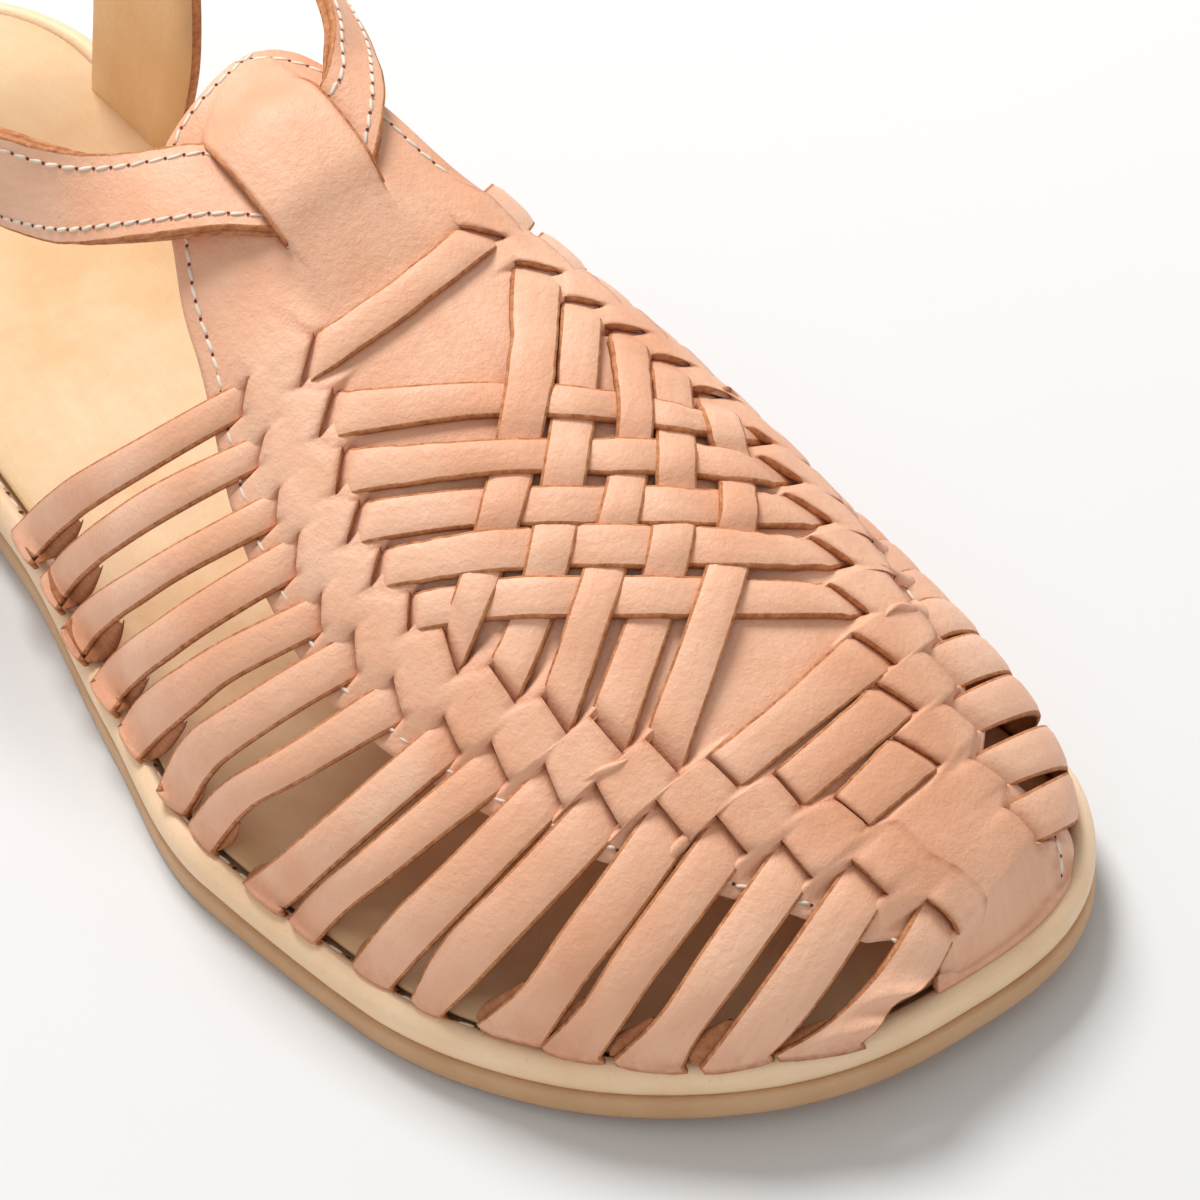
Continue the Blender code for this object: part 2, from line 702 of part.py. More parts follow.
def make_buckle(metal):
    rear, front = BUCKLE_X
    half = 10.4
    middle_z = 62.0
    rear_y, front_y = -33.1, -33.4
    corners = []
    for x, y, z in (
        (rear, rear_y, -half + 1.5), (rear, rear_y, half - 1.5),
        (rear + 1.5, rear_y, half), (front - 1.5, front_y, half),
        (front, front_y, half - 1.5), (front, front_y, -half + 1.5),
        (front - 1.5, front_y, -half), (rear + 1.5, rear_y, -half),
    ):
        corners.append((x, y, middle_z + z))
    wire_loop("buckle_frame", corners, 0.9, metal, True)
    prong = [(rear + 1.4, rear_y - 0.3, middle_z + 0.2), (rear + 6.0, -34.4, middle_z + 0.2)]
    prong += [(front - 3.0, -35.4, middle_z + 0.2), (front + 1.0, -35.2, middle_z + 0.2)]
    wire_loop("buckle_prong", prong, 0.7, metal, False)


def make_keeper(leather):
    centre = (70.0, -33.6, 61.6)
    keeper = box("strap_keeper", centre, (7.0, 12.4, 20.0), leather)
    combine(keeper, box("keeper_hole", centre, (12.0, 9.6, 17.2), None), "DIFFERENCE")
    return keeper


def build():
    for item in list(bpy.data.objects):
        bpy.data.objects.remove(item)
    rubber = make_material("outsole_tan", (0.62, 0.42, 0.24), 0.7, 0.0)
    rim = make_material("rim_leather", (0.72, 0.53, 0.34), 0.5, 0.0)
    sock = make_material("sock_leather", (0.80, 0.62, 0.42), 0.55, 0.0)
    upper_leather = make_material("upper_leather", (0.78, 0.50, 0.38), 0.5, 0.0)
    strap_leather = make_material("strap_leather", (0.78, 0.50, 0.38), 0.5, 0.0)
    medial_leather = make_material("medial_leather", (0.78, 0.50, 0.38), 0.5, 0.0)
    lateral_leather = make_material("lateral_leather", (0.78, 0.50, 0.38), 0.5, 0.0)
    keeper_leather = make_material("keeper_leather", (0.78, 0.50, 0.38), 0.5, 0.0)
    metal = make_material("buckle_metal", (0.80, 0.62, 0.32), 0.3, 1.0)
    sole_layer("outsole", [(0.8, 0.0), (0.0, 0.7), (0.0, 3.4), (0.7, OUTSOLE_THICK)], rubber)
    rim_start = OUTSOLE_THICK + GAP
    sole_layer("midsole", [
        (1.2, rim_start), (0.4, rim_start + 0.4), (0.0, rim_start + 1.4), (0.0, rim_start + 3.1),
        (0.35, rim_start + 4.4), (1.0, rim_start + 5.2), (1.9, rim_start + 5.5),
        (2.8, rim_start + 5.2), (RIM_WIDTH, SEAT_HEIGHT),
    ], rim)
    seat = SEAT_HEIGHT + GAP
    inner = RIM_WIDTH + 4.4
    sole_layer("insole", [(inner, seat), (inner, seat + 0.9), (inner + 0.4, seat + 1.2)], sock)
    make_upper(upper_leather)
    make_ankle_strap(strap_leather)
    make_side_loop("medial_loop", 1, medial_leather)
    make_side_loop("lateral_loop", -1, lateral_leather)
    make_buckle(metal)
    make_keeper(keeper_leather)


build()
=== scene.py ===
"""Right huarache sandal as photographed: straps woven through a slit panel, on a wrapped sole.

Sizes are in millimetres. X runs from heel to toe, Y from lateral to medial, Z up.
Places read from the photograph are in its pixels, 1200 across, counted from the top left.
"""
import math
import random

import bpy
from mathutils import Matrix, Vector, noise
from mathutils.bvhtree import BVHTree


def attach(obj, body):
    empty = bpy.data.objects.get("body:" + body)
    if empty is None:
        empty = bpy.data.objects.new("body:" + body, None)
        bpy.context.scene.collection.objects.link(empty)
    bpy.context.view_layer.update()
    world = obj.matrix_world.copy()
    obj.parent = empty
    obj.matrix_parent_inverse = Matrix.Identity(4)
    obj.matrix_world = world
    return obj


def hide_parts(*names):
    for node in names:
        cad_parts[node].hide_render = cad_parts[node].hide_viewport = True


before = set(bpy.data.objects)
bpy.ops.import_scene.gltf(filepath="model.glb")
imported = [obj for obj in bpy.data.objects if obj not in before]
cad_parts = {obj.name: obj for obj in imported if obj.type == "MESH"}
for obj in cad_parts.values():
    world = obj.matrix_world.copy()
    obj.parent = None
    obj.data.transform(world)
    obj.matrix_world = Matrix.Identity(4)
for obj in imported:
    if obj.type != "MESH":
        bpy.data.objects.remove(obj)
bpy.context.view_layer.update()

MM = 0.001
ORIGIN = (127.5, 2.48, 0.0)

# Driving sizes, the same as the part's
LENGTH = 255.0
HEEL_ROUND = 32.0
TOE_ROUND = 52.0
TOE_SQUARENESS = 2.8
TOE_SWING = 16.0
TOE_SPRING = 4.0
SPRING_START = 195.0
OUTSOLE_THICK = 4.0
GAP = 0.3
RIM_WIDTH = 3.6
TOE_SEAM_SHIFT = 2.4
SEAT_HEIGHT = 9.0
LAST_BASE = 10.0
STRAP_WIDTH = 7.0
# Leather of the field's strips, of the side straps and of each layer of the ankle strap
STRAP_THICK = 1.1
SIDE_THICK = 0.95
LAYER_THICK = 1.15
# Points along each side of a layer of the sole
STATIONS = 150

# Camera: eye and axes in the shoe's millimetres, focal length in pixels of the photograph
EYE = Vector((597.09, -253.91, 538.65))
RIGHT = Vector((0.58531, 0.80913, -0.05224))
UP = Vector((-0.56417, 0.45269, 0.6905))
BACK = Vector((0.58235, -0.37468, 0.72145))
FOCAL = 5538.26
PICTURE = 1200

# Half widths of the sole: x, lateral, medial
SOLE_WIDTHS = [
    (0, 30.0, 30.0),
    (30, 31.0, 30.3),
    (70, 31.0, 29.3),
    (110, 34.0, 28.6),
    (145, 42.0, 35.0),
    (175, 49.0, 42.0),
    (205, 48.5, 43.5),
    (230, 44.5, 43.0),
    (255, 37.0, 37.5),
]

# Last: x, height above its base, place of its ridge, lateral fullness, medial fullness
LAST_SECTIONS = [
    (60, 66.0, 0.60, 2.0, 3.0),
    (100, 66.4, 0.62, 2.0, 3.0),
    (130, 66.0, 0.65, 2.0, 2.9),
    (160, 54.0, 0.64, 2.0, 2.8),
    (190, 43.0, 0.64, 2.0, 2.5),
    (220, 30.0, 0.61, 1.9, 2.1),
    (236, 19.5, 0.55, 1.8, 1.9),
    (245, 13.2, 0.53, 1.8, 1.8),
    (250, 7.5, 0.53, 1.8, 1.8),
    (253, 2.0, 0.53, 1.8, 1.8),
]

# Slits on the lateral side, pixels:
# outer rear x y, outer front x y, inner rear x y, inner front x y
LATERAL_SLITS = [
    (252, 376, 245, 417, 315, 333, 301, 390),
    (270, 430, 261, 468, 334, 388, 320, 440),
    (283, 486, 280, 525, 344, 447, 337, 497),
    (303, 530, 299, 577, 361, 500, 348, 546),
    (325, 590, 325, 632, 382, 547, 372, 588),
    (357, 628, 361, 675, 411, 592, 409, 633),
    (395, 675, 407, 720, 443, 627, 459, 677),
    (445, 714, 464, 755, 489, 665, 517, 706),
    (492, 740, 511, 783, 541, 696, 569, 738),
    (545, 762, 565, 810, 589, 716, 625, 758),
    (595, 782, 622, 830, 644, 739, 680, 778),
    (655, 800, 690, 842, 704, 758, 738, 791),
    (715, 815, 748, 855, 770, 774, 801, 810),
    (780, 840, 813, 880, 831, 799, 867, 829),
    (850, 860, 888, 896, 896, 822, 930, 856),
    (924, 898, 957, 935, 954, 868, 984, 900),
]
# The last two rows have no inner slit, their straps end beneath the toe
INNER_SLITS = 14
# Lateral straps on their way down, pixels: half way rear x y, front x y, low rear x y, front x y,
# at the seam rear x y, front x y, then how far a rolled edge shows, in mm, rear side below 0
LATERAL_STRAPS = [
    (131, 443, 137, 480, 60, 485, 75, 520, 12, 530, 30, 563, 2.2),
    (155, 484, 160, 523, 85, 532, 95, 566, 41, 577, 57, 609, 2.0),
    (172, 546, 180, 578, 100, 590, 115, 621, 62, 628, 80, 660, 2.6),
    (197, 593, 205, 633, 125, 643, 142, 678, 91, 682, 112, 712, 1.5),
    (222, 641, 232, 681, 155, 684, 180, 722, 119, 726, 138, 760, 1.8),
    (250, 691, 262, 735, 188, 733, 215, 770, 157, 790, 186, 814, 0.5),
    (290, 742, 300, 781, 225, 780, 250, 808, 189, 822, 213, 852, 1.0),
    (345, 800, 367, 838, 285, 851, 315, 884, 243, 882, 281, 912, -0.8),
    (385, 832, 415, 860, 325, 880, 355, 905, 289, 918, 317, 942, 0.0),
    (450, 857, 482, 893, 393, 912, 432, 944, 352, 963, 392, 988, -0.9),
    (502, 880, 535, 922, 443, 940, 480, 980, 411, 998, 443, 1015, 0.0),
    (575, 912, 618, 942, 525, 984, 578, 993, 477, 1024, 545, 1042, -2.0),
    (632, 928, 677, 950, 585, 1000, 632, 1012, 541, 1046, 600, 1058, -1.4),
    (702, 950, 747, 972, 655, 1020, 705, 1028, 613, 1060, 683, 1067, -2.0),
    (775, 965, 832, 980, 735, 1022, 800, 1025, 700, 1068, 770, 1055, -3.0),
    (880, 970, 930, 980, 832, 1020, 900, 1012, 775, 1055, 862, 1042, -2.4),
]
# Inner slits on the medial side, pixels: rear x y, front x y
MEDIAL_INNER = [
    (457, 228, 505, 241),
    (512, 264, 561, 277),
    (562, 300, 602, 310),
    (602, 328, 644, 337),
    (649, 358, 688, 370),
    (690, 390, 728, 402),
    (744, 430, 770, 448),
    (756, 458, 801, 487),
    (781, 495, 831, 527),
    (807, 538, 853, 569),
    (826, 585, 868, 617),
    (849, 634, 896, 667),
    (872, 683, 917, 713),
    (890, 737, 940, 767),
    (925, 796, 962, 822),
    (972, 838, 1004, 872),
]
# Medial straps: foot x, then x and across of the outer slit, across from -1 lateral to 1 medial
MEDIAL_STRAPS = [
    (120.0, 152.0, 0.25),
    (129.5, 159.0, 0.29),
    (139.0, 165.0, 0.33),
    (148.5, 171.0, 0.38),
    (158.0, 177.0, 0.43),
    (167.5, 183.5, 0.48),
    (176.5, 190.5, 0.52),
    (184.0, 197.0, 0.50),
    (190.5, 203.5, 0.47),
    (197.0, 209.5, 0.43),
    (203.5, 215.3, 0.39),
    (209.5, 221.5, 0.35),
    (215.5, 227.8, 0.30),
    (222.0, 234.2, 0.27),
    (230.5, 240.0, 0.30),
    (237.0, 244.4, 0.44),
]

# Outer slits of the last medial straps, pixels: rear x y, front x y
MEDIAL_OUTER_SEEN = {
    11: (905, 605, 935, 640),
    12: (918, 653, 955, 690),
    13: (940, 705, 975, 735),
    14: (965, 760, 1005, 788),
    15: (998, 808, 1033, 845),
}

# Panel under the weave: x, lateral edge across, medial edge across
PANEL_EDGES = [
    (117.7, 0.00, 0.04),
    (118.4, -0.05, 0.09),
    (119.4, -0.11, 0.12),
    (120.4, -0.18, 0.15),
    (122.0, -0.25, 0.17),
    (126.0, -0.29, 0.20),
    (133.0, -0.34, 0.21),
    (140.0, -0.39, 0.22),
    (147.7, -0.42, 0.27),
    (157.0, -0.51, 0.37),
    (165.0, -0.55, 0.42),
    (172.0, -0.57, 0.48),
    (180.0, -0.59, 0.54),
    (188.0, -0.60, 0.59),
    (195.0, -0.59, 0.60),
    (202.0, -0.57, 0.58),
    (209.0, -0.55, 0.55),
    (216.0, -0.52, 0.51),
    (223.0, -0.48, 0.46),
    (229.0, -0.44, 0.42),
    (235.0, -0.40, 0.40),
    (240.0, -0.35, 0.45),
    (243.0, -0.30, 0.64),
    (245.5, -0.26, 0.92),
]
# Lateral edge of the panel, pixels x y
LATERAL_EDGE = [
    (215, 442), (226, 494), (244, 552), (267, 602), (293, 650), (331, 705), (384, 751),
    (486, 815), (600, 862), (729, 898), (804, 918), (880, 950), (934, 995),
]
# Rows of stitches at the panel's two toe corners, pixels x y
TOE_STITCHES = [
    [(898, 942), (912, 955), (924, 970), (930, 984)],
    [(1052, 828), (1059, 846), (1062, 866), (1058, 884)],
]
# Toe end of the panel at the seam: inset of the seam, lateral y, medial y
TOE_END = (1.6, 12.0, 36.5)

# Strips of the field between their slits, pixels of one edge and the other: x y, x y
FIELD_STRIPS = {
    "t1": [(315, 335, 303, 388), (390, 283, 400, 322), (457, 228, 505, 241)],
    "h1": [(334, 392, 322, 440), (505, 383, 500, 416), (655, 400, 655, 428), (744, 430, 770, 448)],
    "h2": [(344, 449, 338, 496), (480, 441, 490, 475), (650, 440, 657, 475), (756, 456, 795, 487)],
    "h3": [(361, 502, 349, 546), (487, 488, 480, 527), (645, 487, 645, 525), (781, 495, 831, 527)],
    "h4": [(382, 549, 374, 590), (500, 529, 505, 571), (660, 525, 665, 567), (808, 539, 848, 568)],
    "h5": [(411, 594, 410, 633), (505, 578, 505, 619), (690, 577, 690, 617), (826, 585, 868, 617)],
    "v1": [(443, 627, 459, 677), (475, 527, 519, 528), (505, 385, 552, 385), (512, 264, 561, 277)],
    "v2": [(489, 665, 517, 706), (523, 575, 568, 573), (551, 415, 594, 420), (562, 300, 602, 310)],
    "v3": [(541, 696, 569, 738), (583, 568, 627, 568), (616, 430, 652, 437), (608, 330, 646, 338)],
    "v4": [(589, 716, 625, 758), (642, 572, 687, 572), (656, 460, 696, 460), (649, 358, 688, 370)],
    "v5": [(644, 739, 680, 778), (706, 567, 749, 569), (719, 480, 755, 485), (694, 392, 733, 404)],
    "b1": [(704, 758, 738, 791), (770, 706, 805, 737), (849, 634, 896, 667)],
    "b2": [(770, 774, 801, 810), (822, 730, 858, 762), (872, 685, 917, 712)],
    "b3": [(831, 799, 867, 829), (860, 768, 903, 798), (890, 737, 940, 767)],
}

# Ankle strap from its buckle round the heel, under the tongue and back to its tip:
# upper or rear edge x y z, lower or front edge x y z
ANKLE_STRAP = [
    (84.0, -29.2, 70.4, 84.0, -29.2, 54.8),
    (74.0, -30.4, 69.6, 74.0, -30.4, 54.0),
    (62.0, -31.2, 69.1, 62.0, -31.2, 53.5),
    (48.0, -31.2, 69.0, 48.0, -31.2, 53.4),
    (34.0, -30.6, 69.4, 34.0, -30.6, 53.8),
    (20.0, -22.0, 70.2, 20.0, -22.0, 54.6),
    (11.0, -9.5, 70.8, 11.0, -9.5, 55.2),
    (9.0, 0.0, 71.0, 9.0, 0.0, 55.4),
    (11.0, 9.5, 71.0, 11.0, 9.5, 55.4),
    (20.0, 22.0, 71.2, 20.0, 22.0, 55.6),
    (34.0, 30.6, 71.4, 34.0, 30.6, 55.8),
    (48.0, 31.2, 71.8, 48.0, 31.2, 56.2),
    (66.0, 31.2, 73.2, 65.0, 31.8, 57.6),
    (84.0, 29.2, 75.4, 81.0, 32.0, 60.4),
    (103.0, 24.8, 78.2, 95.0, 30.4, 65.0),
    (115.0, 20.3, 79.6, 107.0, 27.0, 69.0),
    (122.5, 17.0, 80.2, 116.0, 24.0, 72.6),
    (127.4, 13.6, 80.8, 124.5, 21.2, 74.0),
    (130.2, 11.0, 79.8, 136.0, 15.8, 76.6),
    (130.8, 8.8, 77.2, 143.2, 9.0, 73.8),
    (129.2, 6.4, 74.6, 143.0, 5.8, 70.9),
    (128.9, 2.0, 73.6, 142.8, 2.0, 70.2),
    (128.8, -2.6, 73.6, 142.8, -3.0, 70.2),
    (128.2, -5.2, 74.9, 142.6, -6.0, 71.6),
    (126.3, -7.2, 75.2, 138.8, -11.2, 72.2),
    (123.9, -10.4, 74.6, 134.0, -17.0, 71.0),
    (120.6, -14.3, 74.0, 127.0, -21.0, 67.4),
    (116.3, -17.9, 73.4, 120.0, -23.4, 63.6),
    (111.6, -21.0, 73.4, 112.0, -24.6, 60.4),
    (105.0, -24.0, 73.0, 103.8, -25.4, 57.6),
    (94.0, -28.6, 71.0, 94.0, -28.6, 55.4),
    (86.0, -32.2, 70.2, 86.0, -32.2, 54.6),
    (78.0, -35.6, 69.7, 78.0, -35.6, 54.1),
    (70.0, -36.2, 69.4, 70.0, -36.2, 53.8),
    (63.5, -35.8, 65.6, 63.5, -35.8, 57.4),
]


def table_value(table, position, column):
    """Smooth value from a table, without overshoot between its rows."""
    rows = [(row[0], row[column]) for row in table]
    if position <= rows[0][0]:
        return rows[0][1]
    if position >= rows[-1][0]:
        return rows[-1][1]
    slopes = []
    for index in range(len(rows) - 1):
        rise = rows[index + 1][1] - rows[index][1]
        slopes.append(rise / (rows[index + 1][0] - rows[index][0]))
    tangents = [slopes[0]]
    for index in range(1, len(slopes)):
        before, after = slopes[index - 1], slopes[index]
        flat = before * after <= 0
        tangents.append(0.0 if flat else 2 * before * after / (before + after))
    tangents.append(slopes[-1])
    spot = 0
    while position > rows[spot + 1][0]:
        spot += 1
    width = rows[spot + 1][0] - rows[spot][0]
    t = (position - rows[spot][0]) / width
    value = (2 * t ** 3 - 3 * t ** 2 + 1) * rows[spot][1]
    value += (t ** 3 - 2 * t ** 2 + t) * width * tangents[spot]
    value += (3 * t ** 2 - 2 * t ** 3) * rows[spot + 1][1]
    value += (t ** 3 - t ** 2) * width * tangents[spot + 1]
    return value


def toe_spring(x):
    reach = max(0.0, x - SPRING_START) / (LENGTH - SPRING_START)
    return TOE_SPRING * reach ** 2


def centre_y(x):
    return TOE_SWING * (max(0.0, x - 120.0) / 135.0) ** 2


def side_y(x, side, inset):
    """Y of the sole's edge, moved inward by inset; side is -1 lateral, 1 medial."""
    column = 1 if side < 0 else 2
    half = table_value(SOLE_WIDTHS, x, column) - inset
    heel = HEEL_ROUND - inset
    toe = TOE_ROUND - inset
    factor = 1.0
    if x < inset + heel:
        reach = min(1.0, (inset + heel - x) / heel)
        factor = math.sqrt(max(0.0, 1.0 - reach ** 2))
    if x > LENGTH - inset - toe:
        reach = min(1.0, (x - (LENGTH - inset - toe)) / toe)
        factor = max(0.0, 1.0 - reach ** TOE_SQUARENESS) ** (1.0 / TOE_SQUARENESS)
    return centre_y(x) + side * half * factor


def front_x(y, inset):
    """X of the toe's edge at a given y."""
    low, high = 215.0, LENGTH - inset
    side = 1 if y > centre_y(high) else -1
    for _ in range(30):
        middle = (low + high) / 2
        if (side_y(middle, side, inset) - y) * side > 0:
            low = middle
        else:
            high = middle
    return low


SECTION_STEP = 0.25
SECTIONS = {}


def last_section(x):
    """Lateral seam, ridge, medial seam, height and fullness of the last, kept once worked out."""
    key = round(min(max(x, 60.0), LENGTH - RIM_WIDTH + 1.5) / SECTION_STEP)
    if key not in SECTIONS:
        spot = key * SECTION_STEP
        shift = TOE_SEAM_SHIFT * ease((spot - 205) / 28)
        lateral = side_y(spot, -1, RIM_WIDTH - shift)
        medial = side_y(spot, 1, RIM_WIDTH - 0.4 * shift)
        share, height, *fullness = [table_value(LAST_SECTIONS, spot, column) for column in (2, 1, 3, 4)]
        ridge = lateral + (medial - lateral) * share
        SECTIONS[key] = lateral, ridge, medial, height, fullness
    return SECTIONS[key]


def last_spot(x, across):
    """Point of the last's surface, across from -1 lateral seam to 1 medial seam."""
    low = math.floor(x / SECTION_STEP) * SECTION_STEP
    share = (x - low) / SECTION_STEP
    first = section_point(low, across)
    second = section_point(low + SECTION_STEP, across)
    point = first.lerp(second, share)
    point.x = x
    return point


def section_point(x, across):
    lateral, ridge, medial, height, fullness = last_section(x)
    angle = min(1.0, abs(across)) * math.pi / 2
    power = fullness[0] if across < 0 else fullness[1]
    reach = math.sin(angle) ** (2 / power)
    y = ridge - (ridge - lateral) * reach if across < 0 else ridge + (medial - ridge) * reach
    z = LAST_BASE + toe_spring(x) + height * max(0.0, math.cos(angle)) ** (2 / power)
    return Vector((x, y, z))


def last_normal(x, across):
    """Outward normal of the last, smoothed over a couple of millimetres."""
    across = min(max(across, -0.985), 0.985)
    along = last_spot(x + 1.2, across) - last_spot(x - 1.2, across)
    over = last_spot(x, across + 0.03) - last_spot(x, across - 0.03)
    return along.cross(over).normalized()


def lifted(x, across, lift):
    """Point at a height above the last's surface."""
    return last_spot(x, across) + last_normal(x, across) * lift


# Grid of the last's surface: x from, to and step, then the step across
GRID_X = (100.0, 252.5, 0.5)
GRID_ACROSS = 0.025
GRIDS = {}
# Extra lifts tried for a pixel that lies outside the last
OUTWARD_LIFTS = (0.0, 0.5, 1.0, 1.5, 2.0, 2.5, 3.0, 3.5)
# Probes along a ray that misses: first distance from the eye, step, how many
PROBES = (560, 2.5, 160)


def lifted_grid(lift):
    """Search tree of the last's surface at one height, with the places of its grid."""
    if lift not in GRIDS:
        start, end, step = GRID_X
        rows = int((end - start) / step) + 1
        columns = int(2 / GRID_ACROSS) + 1
        points = []
        for row in range(rows):
            for column in range(columns):
                points.append(lifted(start + row * step, -1 + column * GRID_ACROSS, lift))
        quads = []
        for row in range(rows - 1):
            for column in range(columns - 1):
                corner = row * columns + column
                quads.append((corner, corner + 1, corner + columns + 1, corner + columns))
        GRIDS[lift] = BVHTree.FromPolygons(points, quads), points, quads, columns
    return GRIDS[lift]


def pixel_ray(px, py):
    middle = PICTURE / 2
    return (RIGHT * (px - middle) - UP * (py - middle) - BACK * FOCAL).normalized()


def pixel_place(px, py, lift):
    """(x, across) of the last under a pixel, its lift rounded to half a millimetre."""
    return pixel_spot(px, py, lift)[:2]


def pixel_spot(px, py, lift):
    """The same with how much more lift it takes to meet a pixel that lies outside the last."""
    lift = round(lift * 2) / 2
    for outward in OUTWARD_LIFTS:
        tree, points, quads, columns = lifted_grid(lift + outward)
        spot, _, index, _ = tree.ray_cast(EYE, pixel_ray(px, py))
        if spot is not None:
            break
    if spot is None:
        outward = 0.0
        tree, points, quads, columns = lifted_grid(lift)
        spot, index = nearest_on_ray(tree, px, py)
    corner, over, _, along = quads[index]
    start = points[corner]
    side_x, side_a = points[along] - start, points[over] - start
    offset = spot - start
    xx, aa, xa = side_x.dot(side_x), side_a.dot(side_a), side_x.dot(side_a)
    fixed = max(xx * aa - xa * xa, 1e-9)
    share_x = (offset.dot(side_x) * aa - offset.dot(side_a) * xa) / fixed
    share_a = (offset.dot(side_a) * xx - offset.dot(side_x) * xa) / fixed
    row, column = corner // columns, corner % columns
    x = GRID_X[0] + (row + share_x) * GRID_X[2]
    return x, min(1.0, max(-1.0, -1 + (column + share_a) * GRID_ACROSS)), outward


def nearest_on_ray(tree, px, py):
    """Where a ray that misses the last passes closest to it."""
    direction = pixel_ray(px, py)
    near, step, count = PROBES
    found = [tree.find_nearest(EYE + direction * (near + step * index)) for index in range(count)]
    spot, _, index, _ = min(found, key=lambda place: place[3])
    return spot, index


def curve_value(a, b, c, d, t):
    """Value between b and c on a smooth curve through four values."""
    bend = (2 * a - 5 * b + 4 * c - d) * t * t + (3 * b - a - 3 * c + d) * t ** 3
    return 0.5 * (2 * b + (c - a) * t + bend)


def smooth_path(rows, per_span):
    """Finer stations through the rows of a table, every column along."""
    result = []
    last = len(rows) - 1
    for index in range(last):
        four = rows[max(index - 1, 0)], rows[index], rows[index + 1], rows[min(index + 2, last)]
        for step in range(per_span):
            result.append([curve_value(*values, step / per_span) for values in zip(*four)])
    result.append(list(rows[-1]))
    return result


def ease(value):
    value = min(1.0, max(0.0, value))
    return value * value * (3 - 2 * value)


def blend_pair(first, second, share):
    return tuple(a + (b - a) * share for a, b in zip(first, second))


def make_piece(name, vertices, faces, materials, attributes=None, smooth=True):
    """Mesh piece in the row frame. Each face is (corners, material number)."""
    mesh = bpy.data.meshes.new(name)
    placed = [tuple((value - start) * MM for value, start in zip(vertex, ORIGIN)) for vertex in vertices]
    mesh.from_pydata(placed, [], [corners for corners, _ in faces])
    for material in materials:
        mesh.materials.append(material)
    mesh.polygons.foreach_set("material_index", [number for _, number in faces])
    mesh.polygons.foreach_set("use_smooth", [smooth] * len(faces))
    for key, values in (attributes or {}).items():
        vector = isinstance(values[0], tuple)
        layer = mesh.attributes.new(key, "FLOAT_VECTOR" if vector else "FLOAT", "POINT")
        if vector:
            layer.data.foreach_set("vector", [number for value in values for number in value])
        else:
            layer.data.foreach_set("value", values)
    mesh.validate()
    piece = bpy.data.objects.new(name, mesh)
    bpy.context.scene.collection.objects.link(piece)
    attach(piece, "root")
    return piece


class Shape:
    """Vertices, faces and values gathered for one piece."""

    def __init__(self):
        self.vertices = []
        self.faces = []
        self.flow = []
        self.tone = []
        # Painted shade of each vertex: how much the leather is darkened where shade falls at slits,
        # strap ends and seams
        self.painted_shade = []

    def point(self, place, flow=(0.0, 0.0, 0.0), tone=0.0, painted_shade=0.0):
        self.vertices.append(place)
        self.flow.append(tuple(flow))
        self.tone.append(tone)
        self.painted_shade.append(painted_shade)
        return len(self.vertices) - 1

    def piece(self, name, slot, materials):
        values = {"flow": self.flow, "tone": self.tone, "painted_shade": self.painted_shade}
        return make_piece(name, self.vertices, self.faces, materials, values)


def middle_of(first, second):
    return (first + second) / 2


def round_steps(count):
    """Cosine and sine of even steps round a circle."""
    angles = [2 * math.pi * turn / count for turn in range(count)]
    return [(math.cos(angle), math.sin(angle)) for angle in angles]


def join_rings(shape, rings, kinds, cap=None):
    """Faces between rings of points: a material number for each side, and one for both ends."""
    count = len(rings[0])
    for first, second in zip(rings, rings[1:]):
        for index, kind in enumerate(kinds):
            following = (index + 1) % count
            corners = first[index], first[following], second[following], second[index]
            shape.faces.append((corners, kind))
    if cap is not None:
        shape.faces.append((tuple(reversed(rings[0])), cap))
        shape.faces.append((tuple(rings[-1]), cap))


# Sides of a ribbon's ring: grain side, flesh side, then the material of each side in turn
RIBBON_TOP = 8
RIBBON_BOTTOM = 4
RIBBON_KINDS = [1] + [0] * 6 + [1] * 3 + [2] * RIBBON_BOTTOM + [1] * 2
EDGE_BULGE = 0.06
# Distance on the material between grain side and flesh side, and between two straps
FLESH_SHIFT = 30
STRAP_SHIFT = 17.0


def ribbon_profile(width, thick, crown, edge_round):
    """Round a ribbon's section: share across, way out past the edge, height, place on the material."""
    raw = min(0.3 / width, 0.08)
    places = []
    for index in range(RIBBON_TOP + 1):
        share = (index - 1) / (RIBBON_TOP - 2) * (1 - 2 * raw) + raw
        share = min(1.0, max(0.0, share))
        edge = abs(2 * share - 1)
        height = thick / 2 + crown * (1 - edge ** 2) - edge_round * ease((edge - 0.7) / 0.3)
        places.append((share, 0.0, height, share * width))
    for height in (0.12, -0.5):
        places.append((1.0, EDGE_BULGE, height * thick, width + thick))
    for index in range(1, RIBBON_BOTTOM):
        share = 1 - index / RIBBON_BOTTOM
        height = crown * 0.6 * (1 - abs(2 * share - 1) ** 2) - thick / 2
        places.append((share, 0.0, height, share * width + FLESH_SHIFT))
    for height in (-0.5, 0.12):
        places.append((0.0, -EDGE_BULGE, height * thick, -thick))
    return places


def add_ribbon(shape, stations, thick, crown, tone, number, edge_round=0.22):
    """Strap through stations of (left, right, normal, painted shade): grain 0, cut edges 1, flesh 2."""
    rings = []
    length = 0.0
    previous = None
    for left, right, normal, painted_shade in stations:
        middle = middle_of(left, right)
        if previous is not None:
            length += (middle - previous).length
        previous = middle
        width = (right - left).length
        side = (right - left).normalized()
        ring = []
        for share, out, height, round_way in ribbon_profile(width, thick, crown, edge_round):
            place = left.lerp(right, share) + side * out + normal * height
            flow = (length, round_way, number * STRAP_SHIFT)
            ring.append(shape.point(place, flow, tone, painted_shade))
        rings.append(ring)
    join_rings(shape, rings, RIBBON_KINDS, 1)


def row_middles(rows):
    return [((row[0] + row[2]) / 2, (row[1] + row[3]) / 2) for row in rows]


